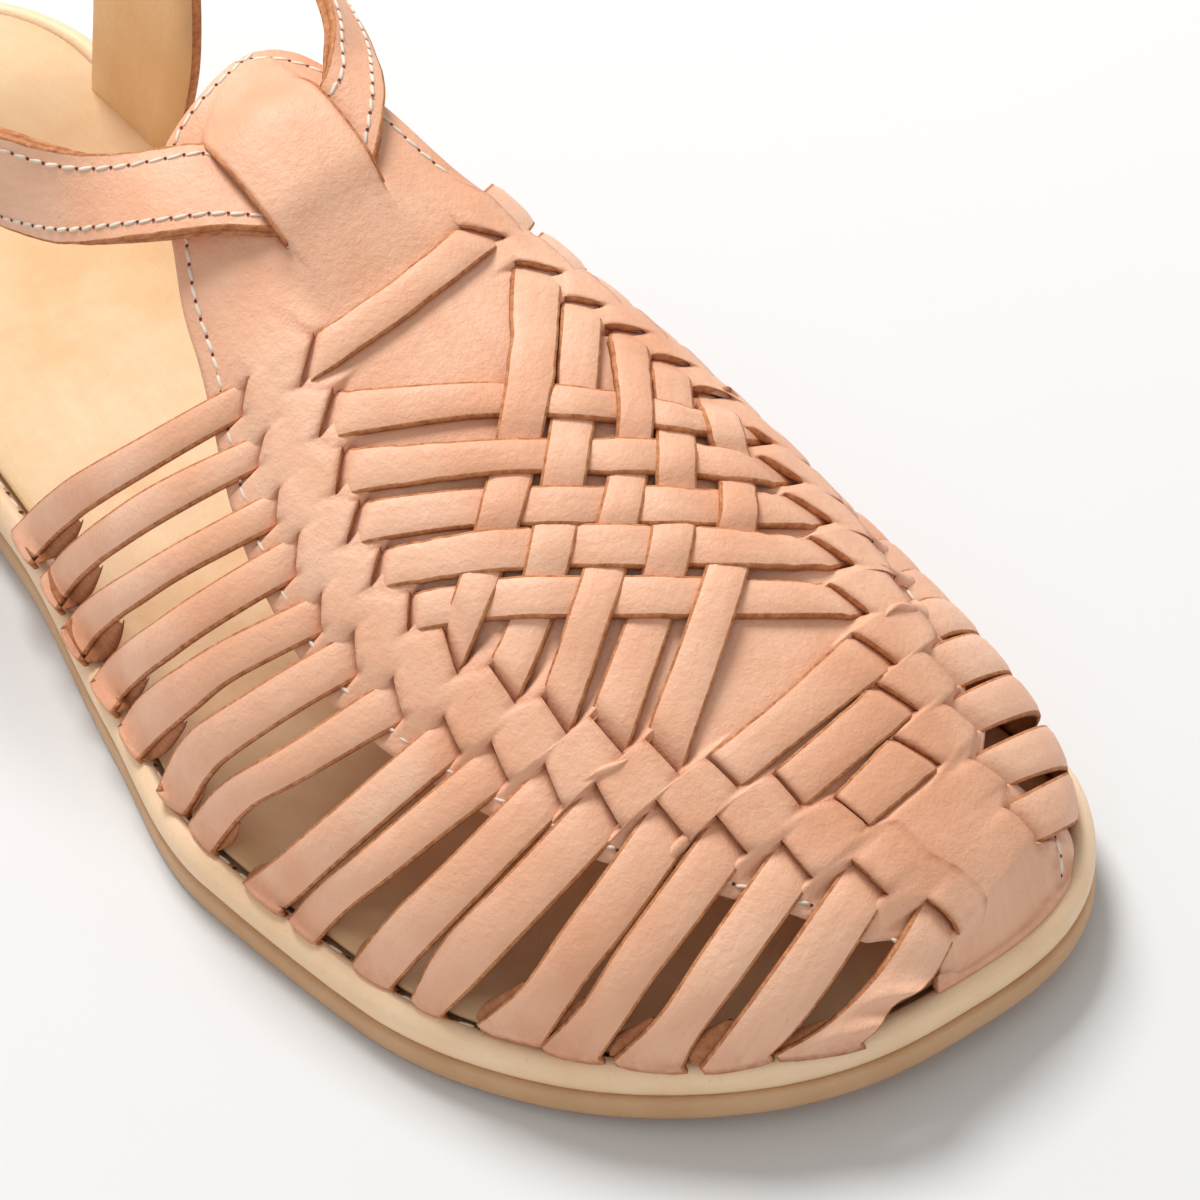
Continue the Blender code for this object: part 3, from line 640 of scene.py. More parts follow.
def crossing_levels(name, centres):
    """Places along a strip of the weave where it crosses the others, and if it runs over them."""
    if name[0] not in "hv":
        return []
    upright = name[0] == "v"
    found = []
    for number in range(1, 6):
        other = FIELD_STRIPS[("h" if upright else "v") + str(number)]
        line = row_middles(smooth_path(other, 12))
        distances = [min(math.dist(centre, spot) for spot in line) for centre in centres]
        upright_over = (int(name[1]) + number) % 2 == 0
        found.append((distances.index(min(distances)), upright_over == upright))
    return sorted(found)


# Heights of the middle of a strap above the last: over and under another, free, in a slit,
# past the slit under the ridge
OVER_LIFT = 2.7
UNDER_LIFT = 1.5
FREE_LIFT = 1.6
SLIT_LIFT = -0.1
HIDDEN_LIFT = -1.5
# How much lower the side straps end
FOOT_DROP = 1.2
# How far the ends of the strips go on under the ridge, in pixels
HIDDEN_REACH = 6.0


def beyond(end, inner, reach):
    """Row of a strip past its end, away from an inner row."""
    shift_x = (end[0] + end[2] - inner[0] - inner[2]) / 2
    shift_y = (end[1] + end[3] - inner[1] - inner[3]) / 2
    scale = reach / math.hypot(shift_x, shift_y)
    shift = (shift_x * scale, shift_y * scale) * 2
    return [value + move for value, move in zip(end, shift)]


def strap_station(row, sway, lift, painted_shade, reach_out=False):
    """Station of a strap with its edges under two pixels, lifted to meet them if it reaches out."""
    ax, ay, bx, by = row
    left_x, left_a, left_more = pixel_spot(ax + sway, ay + sway, lift)
    right_x, right_a, right_more = pixel_spot(bx + sway, by + sway, lift)
    if not reach_out:
        left_more = right_more = 0.0
    left = lifted(left_x, left_a, lift + left_more)
    right = lifted(right_x, right_a, lift + right_more)
    normal = last_normal((left_x + right_x) / 2, (left_a + right_a) / 2)
    return left, right, normal, painted_shade


def strip_lifts(levels, count):
    """Lift at each of a strip's rows, easing from one (row, lift) level to the next."""
    lifts = []
    spot = 0
    for index in range(count):
        while spot < len(levels) - 2 and index > levels[spot + 1][0]:
            spot += 1
        (start, low), (end, high) = levels[spot], levels[spot + 1]
        share = (index - start) / max(1, end - start)
        lifts.append(low + (high - low) * ease((share - 0.1) / 0.8))
    return lifts


def field_strip(shape, name, number, rng):
    """Strip of the field from slit to slit, rising over and dipping under those it crosses."""
    rows = smooth_path(FIELD_STRIPS[name], 14)
    last = len(rows) - 1
    crossings = crossing_levels(name, row_middles(rows))
    levels = [(spot, OVER_LIFT if over else UNDER_LIFT) for spot, over in crossings]
    if not levels or levels[0][0] > 6:
        levels.insert(0, (3, FREE_LIFT))
    if levels[-1][0] < last - 6:
        levels.append((last - 3, FREE_LIFT))
    lifts = strip_lifts([(0, SLIT_LIFT)] + levels + [(last, SLIT_LIFT)], len(rows))
    before = beyond(rows[0], rows[4], HIDDEN_REACH)
    after = beyond(rows[-1], rows[-5], HIDDEN_REACH)
    rows = [before] + rows + [after]
    lifts = [HIDDEN_LIFT] + lifts + [HIDDEN_LIFT]
    stations = []
    wander = rng.uniform(0, 100)
    for index, (row, lift) in enumerate(zip(rows, lifts)):
        sway = 0.8 * noise.noise(Vector((index * 0.25, wander, 0)))
        # Painted shade on the strip's ends, where they go into the slits
        near_end = max(0.0, 1 - min(index, len(rows) - 1 - index) / 3)
        stations.append(strap_station(row, sway, lift, 0.5 * near_end))
    oriented(stations)
    add_ribbon(shape, stations, STRAP_THICK, 0.22, rng.uniform(-1, 1), number)


def oriented(stations):
    """Swap left and right where needed, so that the grain side faces along the normals."""
    centre = len(stations) // 2
    first = middle_of(*stations[centre - 1][:2])
    second = middle_of(*stations[centre + 1][:2])
    left, right, normal, _ = stations[centre]
    if (second - first).cross(right - left).dot(normal) > 0:
        stations[:] = [(right, left, normal, painted_shade) for left, right, normal, painted_shade in stations]


def lateral_strap(shape, number, rng):
    """Strap from its outer slit down to the lateral seam, where one edge may roll under."""
    slit = LATERAL_SLITS[number][:4]
    low = LATERAL_STRAPS[number]
    rows = smooth_path([slit, low[0:4], low[4:8], low[8:12]], 9)
    rows.insert(0, beyond(slit, low[:4], HIDDEN_REACH))
    stations = []
    wander = rng.uniform(0, 100)
    for index, row in enumerate(rows):
        t = (index - 1) / (len(rows) - 2)
        sway = 1.6 * noise.noise(Vector((t * 3.0, wander, 0))) * ease(t * 4) * ease((1 - t) * 4)
        lift = HIDDEN_LIFT
        if t >= 0:
            lift = SLIT_LIFT + (FREE_LIFT - SLIT_LIFT) * ease(t / 0.12)
        lift -= (FOOT_DROP if number < INNER_SLITS else 0.2) * ease((t - 0.35) / 0.6)
        # Painted shade where the strap leaves its slit and towards the seam at its foot
        painted_shade = 0.4 * ease(1 - abs(t) / 0.05) + 0.3 * ease((t - 0.75) / 0.25)
        stations.append(strap_station(row, sway, lift, painted_shade, True))
    smooth_stations(stations, 6 if number == 15 else 2)
    add_rolled_edge(shape, stations, low[12], number)
    add_side_strap(shape, stations, -1, 0.3, rng.uniform(-1, 1), 40 + number)


def add_side_strap(shape, stations, side, crown, tone, number):
    """Side strap with its end turned in under the seam."""
    left, right, normal, _ = stations[-1]
    sink = Vector((0, -0.6 * side, -1.6))
    # The end turned in under the seam is darkened fully with painted shade
    stations.append((left + sink, right + sink, normal, 1.0))
    oriented(stations)
    add_ribbon(shape, stations, SIDE_THICK, crown, tone, number)


def smooth_stations(stations, passes):
    """Even out both edges and the normals of a strap past its slit, its ends kept."""
    for _ in range(passes):
        before = list(stations)
        for index in range(3, len(stations) - 1):
            rear, here, front = before[index - 1:index + 2]
            places = [(a + b * 2 + c) / 4 for a, b, c in zip(rear[:3], here[:3], front[:3])]
            stations[index] = (*places, here[3])


ROLL_SIDES = 5


def add_rolled_edge(shape, stations, width, number):
    """Flesh side that shows where an edge of a strap rolls under near the seam."""
    if not width:
        return
    reach = 9 if abs(width) > 1 else 6
    rings = []
    for step, (left, right, normal, _) in enumerate(stations[-1 - reach:]):
        edge, other = (right, left) if width > 0 else (left, right)
        outward = (edge - other).normalized()
        size = abs(width) * math.sin(math.pi * (0.12 + 0.74 * step / reach)) ** 1.4
        ring = []
        for turn in range(ROLL_SIDES + 1):
            angle = math.pi * turn / ROLL_SIDES
            fall = 0.5 + size * 0.55 * (1 - math.cos(angle))
            place = edge + outward * (size * math.sin(angle)) - normal * fall
            ring.append(shape.point(place, (step, turn, number)))
        rings.append(ring)
    join_rings(shape, rings, [2] * ROLL_SIDES)


def medial_outer(number):
    """Rear and front end of a medial outer slit."""
    if number in MEDIAL_OUTER_SEEN:
        seen = MEDIAL_OUTER_SEEN[number]
        return pixel_place(*seen[:2], 1.0), pixel_place(*seen[2:], 1.0)
    _, x, across = MEDIAL_STRAPS[number]
    half = STRAP_WIDTH / 2
    return (x - half, across), (x + half, across)


MEDIAL_STEPS = 24


def medial_strap(shape, number, rng):
    """Strap from its outer slit down to the medial seam."""
    foot_x = MEDIAL_STRAPS[number][0]
    half = STRAP_WIDTH / 2
    edges = list(zip(medial_outer(number), (foot_x - half, foot_x + half)))
    reach, low = (0.12, SLIT_LIFT) if number in MEDIAL_OUTER_SEEN else (0.4, SLIT_LIFT - 0.6)
    stations = []
    for index in range(-1, MEDIAL_STEPS + 1):
        t = index / MEDIAL_STEPS
        lift = low + (FREE_LIFT - low) * ease(t / reach) if t >= 0 else HIDDEN_LIFT
        lift -= FOOT_DROP * ease((t - 0.35) / 0.6)
        sides = []
        for (top_x, top_a), low_x in edges:
            x = top_x + (low_x - top_x) * (0.45 * t + 0.55 * t * t)
            sides.append((x, top_a + (1 - top_a) * t))
        rear, front = [lifted(x, across, lift) for x, across in sides]
        normal = last_normal(*blend_pair(*sides, 0.5))
        # Painted shade where the strap leaves its slit and towards the seam at its foot
        painted_shade = 0.5 * ease(1 - t / 0.06) + 0.35 * ease((t - 0.8) / 0.2)
        stations.append((rear, front, normal, painted_shade))
    add_side_strap(shape, stations, 1, 0.25, rng.uniform(-1, 1), 80 + number)


def even_spots(line, pitch):
    """Places at an even pitch along a line of (point, normal): middle, direction, normal."""
    spots = []
    travelled = 0.0
    for (start, normal), (end, _) in zip(line, line[1:]):
        span = (end - start).length
        while span > 0 and travelled + span >= pitch * len(spots):
            share = (pitch * len(spots) - travelled) / span
            spots.append((start.lerp(end, share), (end - start).normalized(), normal))
        travelled += span
    return spots


THREAD = 0.27
AWL_HOLE = 0.24
# Stations along a stitch, in shares of half its length
STITCH_SHARES = (-1.0, -0.8, -0.35, 0.35, 0.8, 1.0)


def add_stitches(shape, line, pitch, thread=THREAD, hole=AWL_HOLE, show=0.76):
    """Row of thread stitches with an awl hole after each, a dark disc of painted shade; thread 0, hole
    1.
    """
    for spot, direction, normal in even_spots(line, pitch):
        side = normal.cross(direction).normalized()
        half = pitch * show / 2
        rings = []
        for share in STITCH_SHARES:
            size = thread * math.sqrt(max(0.0, 1.02 - share ** 4))
            centre = spot + direction * (half * share) + side * (0.12 * share)
            ring = []
            for across, up in round_steps(6):
                ring.append(shape.point(centre + side * (across * size) + normal * (up * size * 0.8)))
            rings.append(ring)
        join_rings(shape, rings, [0] * 6, 0)
        # Dark disc of painted shade where the awl hole is; no hole is cut
        centre = spot + direction * (pitch / 2) + normal * 0.04
        disc = []
        for along, across in round_steps(8):
            disc.append(shape.point(centre + direction * (hole * along) + side * (hole * across)))
        shape.faces.append((tuple(disc), 1))


# Columns of each zone of the panel, from its lateral to its medial edge: margin, lateral ridge
# between a strap's two slits, field, middle, field, medial ridge, margin
PANEL_ZONES = [3, 5, 9, 10, 9, 5, 3]
# The tongue's two slits lie where these zones begin
TONGUE_ZONES = (3, 4)
TONGUE_SLIT_Y = (-5.0, 9.0)
TONGUE_SLIT_X = (126.6, 144.6)
# The ankle strap passes under the tongue at this x, and the rows become even past the tongue
TONGUE_CROWN_X = 135.5
TONGUE_BLEND = (147, 18)
LIP_SIZE = 0.62
PANEL_TOP = 0.8
PANEL_THICK = 1.1
# Heights above the panel's top: middle of the ridge, slit edges over a strap, slit ends,
# where the ridge passes between two slits, the plain toe; then how far a slit's other lip goes down
RIDGE_LIFT = 1.35
BAR_LIFT = 1.35
PINCH_LIFT = 0.9
PLAIN_LIFT = 1.15
TOE_LIFT = 1.1
SLIT_DIP = 1.2
STRAP_ROWS = (0.0, 0.06, 0.16, 0.3, 0.5, 0.7, 0.84, 0.94, 1.0)
# Numbers of rows without a strap: on their own, and between two straps of the toe
NO_STRAP = -1
TOE_GAP = -2
LATERAL_PLACES = []


def panel_edge(x, side):
    """Across value of the panel's edge at x."""
    if side > 0:
        return table_value(PANEL_EDGES, x, 2)
    if not LATERAL_PLACES:
        LATERAL_PLACES.extend(row[:2] for row in PANEL_EDGES if row[0] < 148)
        seen = [pixel_place(px, py, PANEL_TOP) for px, py in LATERAL_EDGE]
        LATERAL_PLACES.extend(place for place in seen if place[0] > 152)
    return table_value(LATERAL_PLACES, x, 1)


def across_of(x, y):
    """Across value of the last at a plan point."""
    lateral, ridge, medial, _, fullness = last_section(x)
    side, edge, power = (-1, lateral, fullness[0]) if y < ridge else (1, medial, fullness[1])
    reach = min(1.0, (y - ridge) / (edge - ridge))
    return side * math.asin(reach ** (power / 2)) / (math.pi / 2)


def inner_columns(lateral, medial):
    """The two columns between the inner slits, on the ankle strap's slits at the tongue."""
    pair = []
    start, length = TONGUE_BLEND
    for share, y in zip((0.35, 0.65), TONGUE_SLIT_Y):
        even = blend_pair(lateral, medial, share)
        slit = even[0], across_of(even[0], y)
        pair.append(blend_pair(slit, even, ease((even[0] - start) / length)))
    return pair


def strap_rows():
    """Rear and front row of every strap, as places at each zone's start and end."""
    rows = []
    for number, slit in enumerate(LATERAL_SLITS):
        pair = []
        for end in (0, 1):
            pixels = slit[2 * end:2 * end + 2], slit[4 + 2 * end:6 + 2 * end]
            shown = MEDIAL_INNER[number][2 * end:2 * end + 2]
            outer, inner, medial = [pixel_place(*pixel, 1.0) for pixel in (*pixels, shown)]
            far = medial_outer(number)[end]
            edge = outer[0] + (outer[0] - inner[0]) * 0.4
            start = edge, min(panel_edge(edge, -1), outer[1] - 0.03)
            finish = far[0] - 0.5, max(panel_edge(far[0], 1), far[1] + 0.05)
            pair.append([start, outer, inner, *inner_columns(inner, medial), medial, far, finish])
        rows.append(pair)
    return rows


def plain_row(x, pattern):
    """Row of the tongue at one x, with the zones in the same shares as a strap's row."""
    first, last = panel_edge(x, -1), panel_edge(x, 1)
    low, high = pattern[0][1], pattern[-1][1]
    row = []
    for place in pattern:
        share = (place[1] - low) / (high - low)
        row.append((x, first + (last - first) * share))
    row[3], row[4] = [(x, min(max(across_of(x, y), first + 0.02), last - 0.02)) for y in TONGUE_SLIT_Y]
    if x < TONGUE_SLIT_X[0]:
        even = [(x, first + (last - first) * share) for share in (0.4, 0.7)]
        share = ease((TONGUE_SLIT_X[0] - x) / 5)
        row[3], row[4] = [blend_pair(a, b, share) for a, b in zip(row[3:5], even)]
    row[1], row[2] = blend_pair(row[0], row[3], 0.3), blend_pair(row[0], row[3], 0.62)
    row[5], row[6] = blend_pair(row[4], row[7], 0.38), blend_pair(row[4], row[7], 0.7)
    return row


TOE_SHARES = (0.25, 0.5, 0.7, 0.82, 0.9, 0.95, 0.98, 1.0)
# Place of the panel on its material, apart from the straps
PANEL_FLOW = 3.0


def toe_point(start, part, share):
    """Point and painted shade of the panel on its way from the last strap to the seam."""
    inset, lateral_y, medial_y = TOE_END
    end_y = lateral_y + (medial_y - lateral_y) * part
    x, y = blend_pair(start.xy, (front_x(end_y, inset), end_y), share)
    seam = LAST_BASE + toe_spring(x) - 0.3
    inside = min(x, 252.6)
    surface = last_spot(inside, across_of(inside, y)).z + PANEL_TOP
    z = max(surface, seam) + 0.5 * (1 - share)
    z += (seam - z) * ease((share - 0.94) / 0.06)
    # Painted shade towards the toe seam and towards the panel's sides
    painted_shade = 0.25 * ease((share - 0.7) / 0.3) + 0.2 * abs(2 * part - 1) ** 3
    return Vector((x, y, z)), (x, y, PANEL_FLOW), painted_shade


def toe_rows(line):
    """Rows from the last strap down to the toe seam, as points for each zone."""
    total = sum(PANEL_ZONES)
    rows = []
    for share in TOE_SHARES:
        row = []
        passed = 0
        for cells in line:
            parts = [(passed + column) / total for column in range(len(cells))]
            row.append([toe_point(cell[0], part, share) for cell, part in zip(cells, parts)])
            passed += len(cells) - 1
        rows.append(row)
    return rows


def panel_row_list():
    """Rows of the panel: places, strap number, share of the way over the strap, tongue or not."""
    straps = strap_rows()
    rows = []
    first = straps[0][0]
    x = PANEL_EDGES[0][0]
    tongue_end = min(place[0] for place in first) - 1.5
    while x < tongue_end:
        rows.append((plain_row(x, first), NO_STRAP, 0.0, True))
        x += 0.6 if x < 124 else 1.5
    for number, (rear, front) in enumerate(straps):
        for t in STRAP_ROWS:
            row = [blend_pair(a, b, t) for a, b in zip(rear, front)]
            rows.append((row, number, t, False))
        if number + 1 < len(straps):
            row = [blend_pair(a, b, 0.5) for a, b in zip(front, straps[number + 1][0])]
            rows.append((row, TOE_GAP if number + 1 >= INNER_SLITS else NO_STRAP, 0.5, False))
    return rows


def tongue_rise(x, zone, share):
    """Lift of the tongue over the ankle strap that runs beneath it, between its two slits."""
    away = abs(x - TONGUE_CROWN_X) * (0.9 if x > TONGUE_CROWN_X else 1.0)
    near = {2: share, 3: 1.0, 4: 1 - share}.get(zone, 0.0)
    broad = 0.9 * math.exp(-(away / 13.0) ** 4) * ease((near - 0.5) * 2)
    if zone == 3 or not TONGUE_SLIT_X[0] < x < TONGUE_SLIT_X[1]:
        return broad + 2.3 * ease((11.6 - away) / 7.5) * near ** 6
    return broad * (1 - ease((9.4 - away) / 3.0))


def panel_lift(zone, share, number, t, tongue):
    """Height of the panel's top above the last: a ridge that rises a little over each strap."""
    if tongue:
        return PANEL_TOP
    on_strap = number >= 0
    rise = ease(min(t, 1 - t) / 0.2) if on_strap else 0.0
    over_strap = PINCH_LIFT + (BAR_LIFT - PINCH_LIFT) * rise
    at_toe = number >= INNER_SLITS or number == TOE_GAP
    if zone in (1, 5):
        near_outer = 1 - share if zone == 1 else share
        if at_toe:
            return PANEL_TOP + TOE_LIFT + (over_strap - TOE_LIFT) * ease(near_outer)
        at_slit = over_strap if on_strap or near_outer <= 0.5 else PLAIN_LIFT
        inside = ease(min(share, 1 - share) / 0.3)
        return PANEL_TOP + at_slit + (RIDGE_LIFT - at_slit) * inside
    if zone in (0, 6):
        near = share if zone == 0 else 1 - share
        joint = PINCH_LIFT if on_strap else PLAIN_LIFT
        return PANEL_TOP + joint * (1 - rise) * ease((near - 0.3) / 0.7) - SLIT_DIP * rise * near
    if at_toe:
        return PANEL_TOP + TOE_LIFT
    near = {2: 1 - share, 4: share}.get(zone, 0.0)
    dip = SLIT_DIP * rise * ease((near - 0.7) / 0.3)
    return PANEL_TOP + PINCH_LIFT * (1 - rise) * ease((near - 0.5) / 0.5) - dip


def panel_cells(row, number, t, tongue):
    """Points, places on the material and painted shade of one row of the panel, zone by zone."""
    line = []
    for zone, columns in enumerate(PANEL_ZONES):
        cells = []
        for column in range(columns + 1):
            share = column / columns
            x, across = blend_pair(row[zone], row[zone + 1], share)
            point = lifted(x, across, panel_lift(zone, share, number, t, tongue))
            if tongue:
                point += last_normal(x, across) * tongue_rise(point.x, zone, share)
            painted_shade = 0.0
            # Painted shade along the slits' edges, most towards the slits' ends
            if zone in (1, 5) and not tongue:
                at_slit = ease(abs(2 * share - 1) * 4 - 3)
                painted_shade = at_slit * (0.35 + 0.35 * ease(abs(2 * t - 1) * 3 - 2))
            cells.append((point, (x, point.y, PANEL_FLOW), painted_shade))
        line.append(cells)
    return line


def zone_joined(zone, number, t, tongue):
    """Whether a zone shares its first point with the zone before: not where a slit parts them."""
    if zone == 0 or (tongue and zone in TONGUE_ZONES):
        return False
    slit = zone in (1, 6) or (zone in (2, 5) and number < INNER_SLITS)
    return not (slit and number >= 0 and 0.01 < t < 0.99)


def number_row(shape, line, number, t, tongue):
    """Vertices of one row of the panel, shared between zones except at a slit."""
    numbers = []
    for zone, cells in enumerate(line):
        current = []
        for column, (point, flow, painted_shade) in enumerate(cells):
            if column == 0 and zone_joined(zone, number, t, tongue):
                current.append(numbers[-1][-1])
                continue
            if tongue and (zone, column) in ((2, PANEL_ZONES[2]), (4, 0)):
                point = point - Vector((0, 0, 0.4))
            current.append(shape.point(point, flow, 0.0, painted_shade))
        numbers.append(current)
    return numbers


def make_panel(materials):
    """The panel that everything is woven through, slit where straps pass, as one wall."""
    shape = Shape()
    ids = []
    for row, number, t, tongue in panel_row_list():
        line = panel_cells(row, number, t, tongue)
        slit = number < 0 and TONGUE_SLIT_X[0] < row[3][0] < TONGUE_SLIT_X[1]
        ids.append(number_row(shape, line, number, t, slit))
    for end_line in toe_rows(line):
        ids.append(number_row(shape, end_line, NO_STRAP, 0.0, False))
    for first, second in zip(ids, ids[1:]):
        for near, far in zip(first, second):
            for column in range(len(near) - 1):
                corners = near[column], far[column], far[column + 1], near[column + 1]
                shape.faces.append((corners, 0))
    panel = shape.piece("panel", "upper", materials)
    solid = panel.modifiers.new("thickness", "SOLIDIFY")
    solid.thickness = PANEL_THICK * MM
    solid.offset = -1.0
    solid.use_rim = True
    solid.use_quality_normals = True
    solid.material_offset_rim = 1
    solid.edge_crease_inner = 0.6
    solid.edge_crease_outer = 0.6
    fine = panel.modifiers.new("finer", "SUBSURF")
    fine.levels = 1
    fine.render_levels = 1
    return panel


LIP_STEPS = 30


def make_slit_lips(materials):
    """Raw cut edges of the tongue along its two slits, where it rises over the ankle strap."""
    shape = Shape()
    pattern = strap_rows()[0][0]
    low, high = TONGUE_SLIT_X
    for zone_end, share, side in ((3, 0.0, -1), (4, 1.0, 1)):
        rings = []
        for step in range(LIP_STEPS + 1):
            x = low + (high - low) * step / LIP_STEPS
            place = plain_row(x, pattern)[zone_end]
            normal = last_normal(*place)
            across = Vector((0, side, 0)) - normal * (side * normal.y)
            point = lifted(*place, PANEL_TOP) + normal * tongue_rise(x, 3, share)
            size = LIP_SIZE * math.sin(math.pi * (0.06 + 0.88 * step / LIP_STEPS)) ** 0.4
            ring = []
            for turn, (out, up) in enumerate(round_steps(6)):
                lean = across * (size * 0.6 * out) + normal * (size * (up - 0.9))
                ring.append(shape.point(point + lean, (x, turn, 0.0)))
            rings.append(ring)
        join_rings(shape, rings, [0] * 6, 0)
    return shape.piece("tongue_slit_lips", "upper", materials)


# How far inside the panel's edge the stitches run, and where they end
STITCH_INSET = 2.3
STITCH_END = 243.0


def make_panel_stitches(materials):
    """Stitches just inside the panel's edge, and across its toe end's corners."""
    shape = Shape()
    for side in (-1, 1):
        line = []
        x = PANEL_EDGES[0][0] + 0.5
        while x < STITCH_END:
            inner = STITCH_INSET + 0.3 * max(0.0, 124 - x)
            edge = x, panel_edge(x, side)
            spot_y = last_spot(*edge).y - side * inner * abs(last_normal(*edge).z) ** 0.5
            across = across_of(x, spot_y)
            line.append((lifted(x, across, PANEL_TOP + 0.02), last_normal(x, across)))
            x += 0.5 if x < 126 else 1.5
        add_stitches(shape, line, STITCH_PITCH)
    for seen in TOE_STITCHES:
        places = [pixel_place(px, py, PANEL_TOP) for px, py in smooth_path(seen, 6)]
        line = [(lifted(*place, PANEL_TOP + 0.1), last_normal(*place)) for place in places]
        add_stitches(shape, line, STITCH_PITCH)
    return shape.piece("panel_stitches", "upper", materials)


# Stitches of the rim: pitch, inset, height above the outsole, thread, hole and share that shows
SEAM_PITCH = 4.3
SEAM_INSET = 3.0
SEAM_HEIGHT = 4.85
SEAM_THREAD = (0.22, 0.4, 0.5)
# They show on the lateral side between these x
SEAM_SEEN = (78, 246)


def make_seam_stitches(materials):
    """Lasting stitches that show on the rim's inner edge."""
    shape = Shape()
    start, end = SEAM_SEEN
    line = []
    for point in sole_ring(SEAM_INSET, OUTSOLE_THICK + GAP + SEAM_HEIGHT, STATIONS):
        if start < point.x < end and point.y < centre_y(point.x):
            line.append((point, Vector((0, 0.35, 0.94))))
    add_stitches(shape, line, SEAM_PITCH, *SEAM_THREAD)
    return shape.piece("seam_stitches", "midsole", materials)


def sole_ring(inset, height, stations):
    """Closed ring of points round the sole at one inset and height."""
    near, far = inset, LENGTH - inset
    ring = []
    for side in (-1, 1):
        for index in range(stations + 1):
            t = index / stations
            if side > 0:
                t = 1.0 - t
            if side > 0 and index in (0, stations):
                continue
            x = near + (far - near) * (0.5 - 0.5 * math.cos(math.pi * t))
            ring.append(Vector((x, side_y(x, side, inset), height + toe_spring(x))))
    return ring


def wrinkle_lift(length, inset, height):
    """Fine unevenness of the leather round the sole."""
    amount = noise.noise(Vector((length * 0.9, inset * 0.7, height * 0.25)))
    return amount + 0.6 * noise.noise(Vector((length * 2.3, inset, height * 0.3)))


def make_sole_layer(name, slot, profile, material, wrinkle=0.0):
    """Layer of the sole from a profile of inset and height, bottom to top."""
    shape = Shape()
    rings = []
    for inset, height in profile:
        ring = sole_ring(inset, height, STATIONS)
        numbers = []
        length = 0.0
        for index, point in enumerate(ring):
            length += (point - ring[index - 1]).length if index else 0.0
            if wrinkle:
                point = point + Vector((0, 0, wrinkle * wrinkle_lift(length, inset, height)))
            numbers.append(shape.point(point, (length, height + inset, 0.0)))
        rings.append(numbers)
    count = len(rings[0])
    join_rings(shape, rings, [0] * count)
    for numbers, upward in ((rings[0], False), (rings[-1], True)):
        for index in range(STATIONS):
            corners = [index, index + 1, count - index - 1, (count - index) % count]
            corners = [numbers[corner] for corner in dict.fromkeys(corners)]
            shape.faces.append((tuple(corners if upward else corners[::-1]), 0))
    layer = shape.piece(name, slot, [material])
    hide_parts(slot)


def strap_frame(stations, index):
    """Upper edge, lower edge and outward direction of the ankle strap at a station."""
    high = Vector(stations[index][:3])
    low = Vector(stations[index][3:])
    before = stations[max(index - 1, 0)]
    after = stations[min(index + 1, len(stations) - 1)]
    forward = Vector(after[:3]) + Vector(after[3:]) - Vector(before[:3]) - Vector(before[3:])
    face = (high - low).cross(forward).normalized()
    return high, low, face


def make_ankle_strap(materials):
    """Ankle strap of two layers glued flesh to flesh, its edges cut raw."""
    shape = Shape()
    stations = smooth_path(ANKLE_STRAP, 6)
    for side, number in ((-1, 1), (1, 2)):
        rows = []
        for index in range(len(stations)):
            high, low, face = strap_frame(stations, index)
            along = (high - low).normalized()
            sway = along * (0.15 * noise.noise(Vector((index * 0.5, number, 0))))
            offset = face * (0.6 * side)
            rows.append((low + offset - sway, high + offset + sway, face * side, 0.0))
        oriented(rows)
        add_ribbon(shape, rows, LAYER_THICK, 0.1, 0.2 * number, 120 + number, 0.18)
    return shape.piece("ankle_strap_layers", "ankle_strap", materials)


STRAP_SEAM = 1.9
STITCH_PITCH = 2.45


def make_strap_stitches(materials):
    """Two rows of stitches round the ankle strap, on its outer face."""
    shape = Shape()
    stations = smooth_path(ANKLE_STRAP, 6)
    for upper in (False, True):
        line = []
        for index in range(6, len(stations) - 8):
            high, low, face = strap_frame(stations, index)
            inward = (high - low).normalized() * STRAP_SEAM
            spot = high - inward if upper else low + inward
            line.append((spot + face * 1.25, face))
        add_stitches(shape, line, STITCH_PITCH)
    return shape.piece("strap_stitches", "ankle_strap", materials)


# Loops: the ankle strap's distance from the middle, and how far the loop stands off it
STRAP_Y = 31.3
LOOP_GAP = 3.1
LOOP_HALF = 10.0
LOOP_THICK = 1.8
LOOP_X = 48.5
# For each: node, side, height of the strap's middle, shift forward, foot's distance from the middle
SIDE_LOOPS = [
    ("medial_loop", 1, 64.8, 9.0, 24.0),
    ("lateral_loop", -1, 61.3, 0.0, 26.2),
]


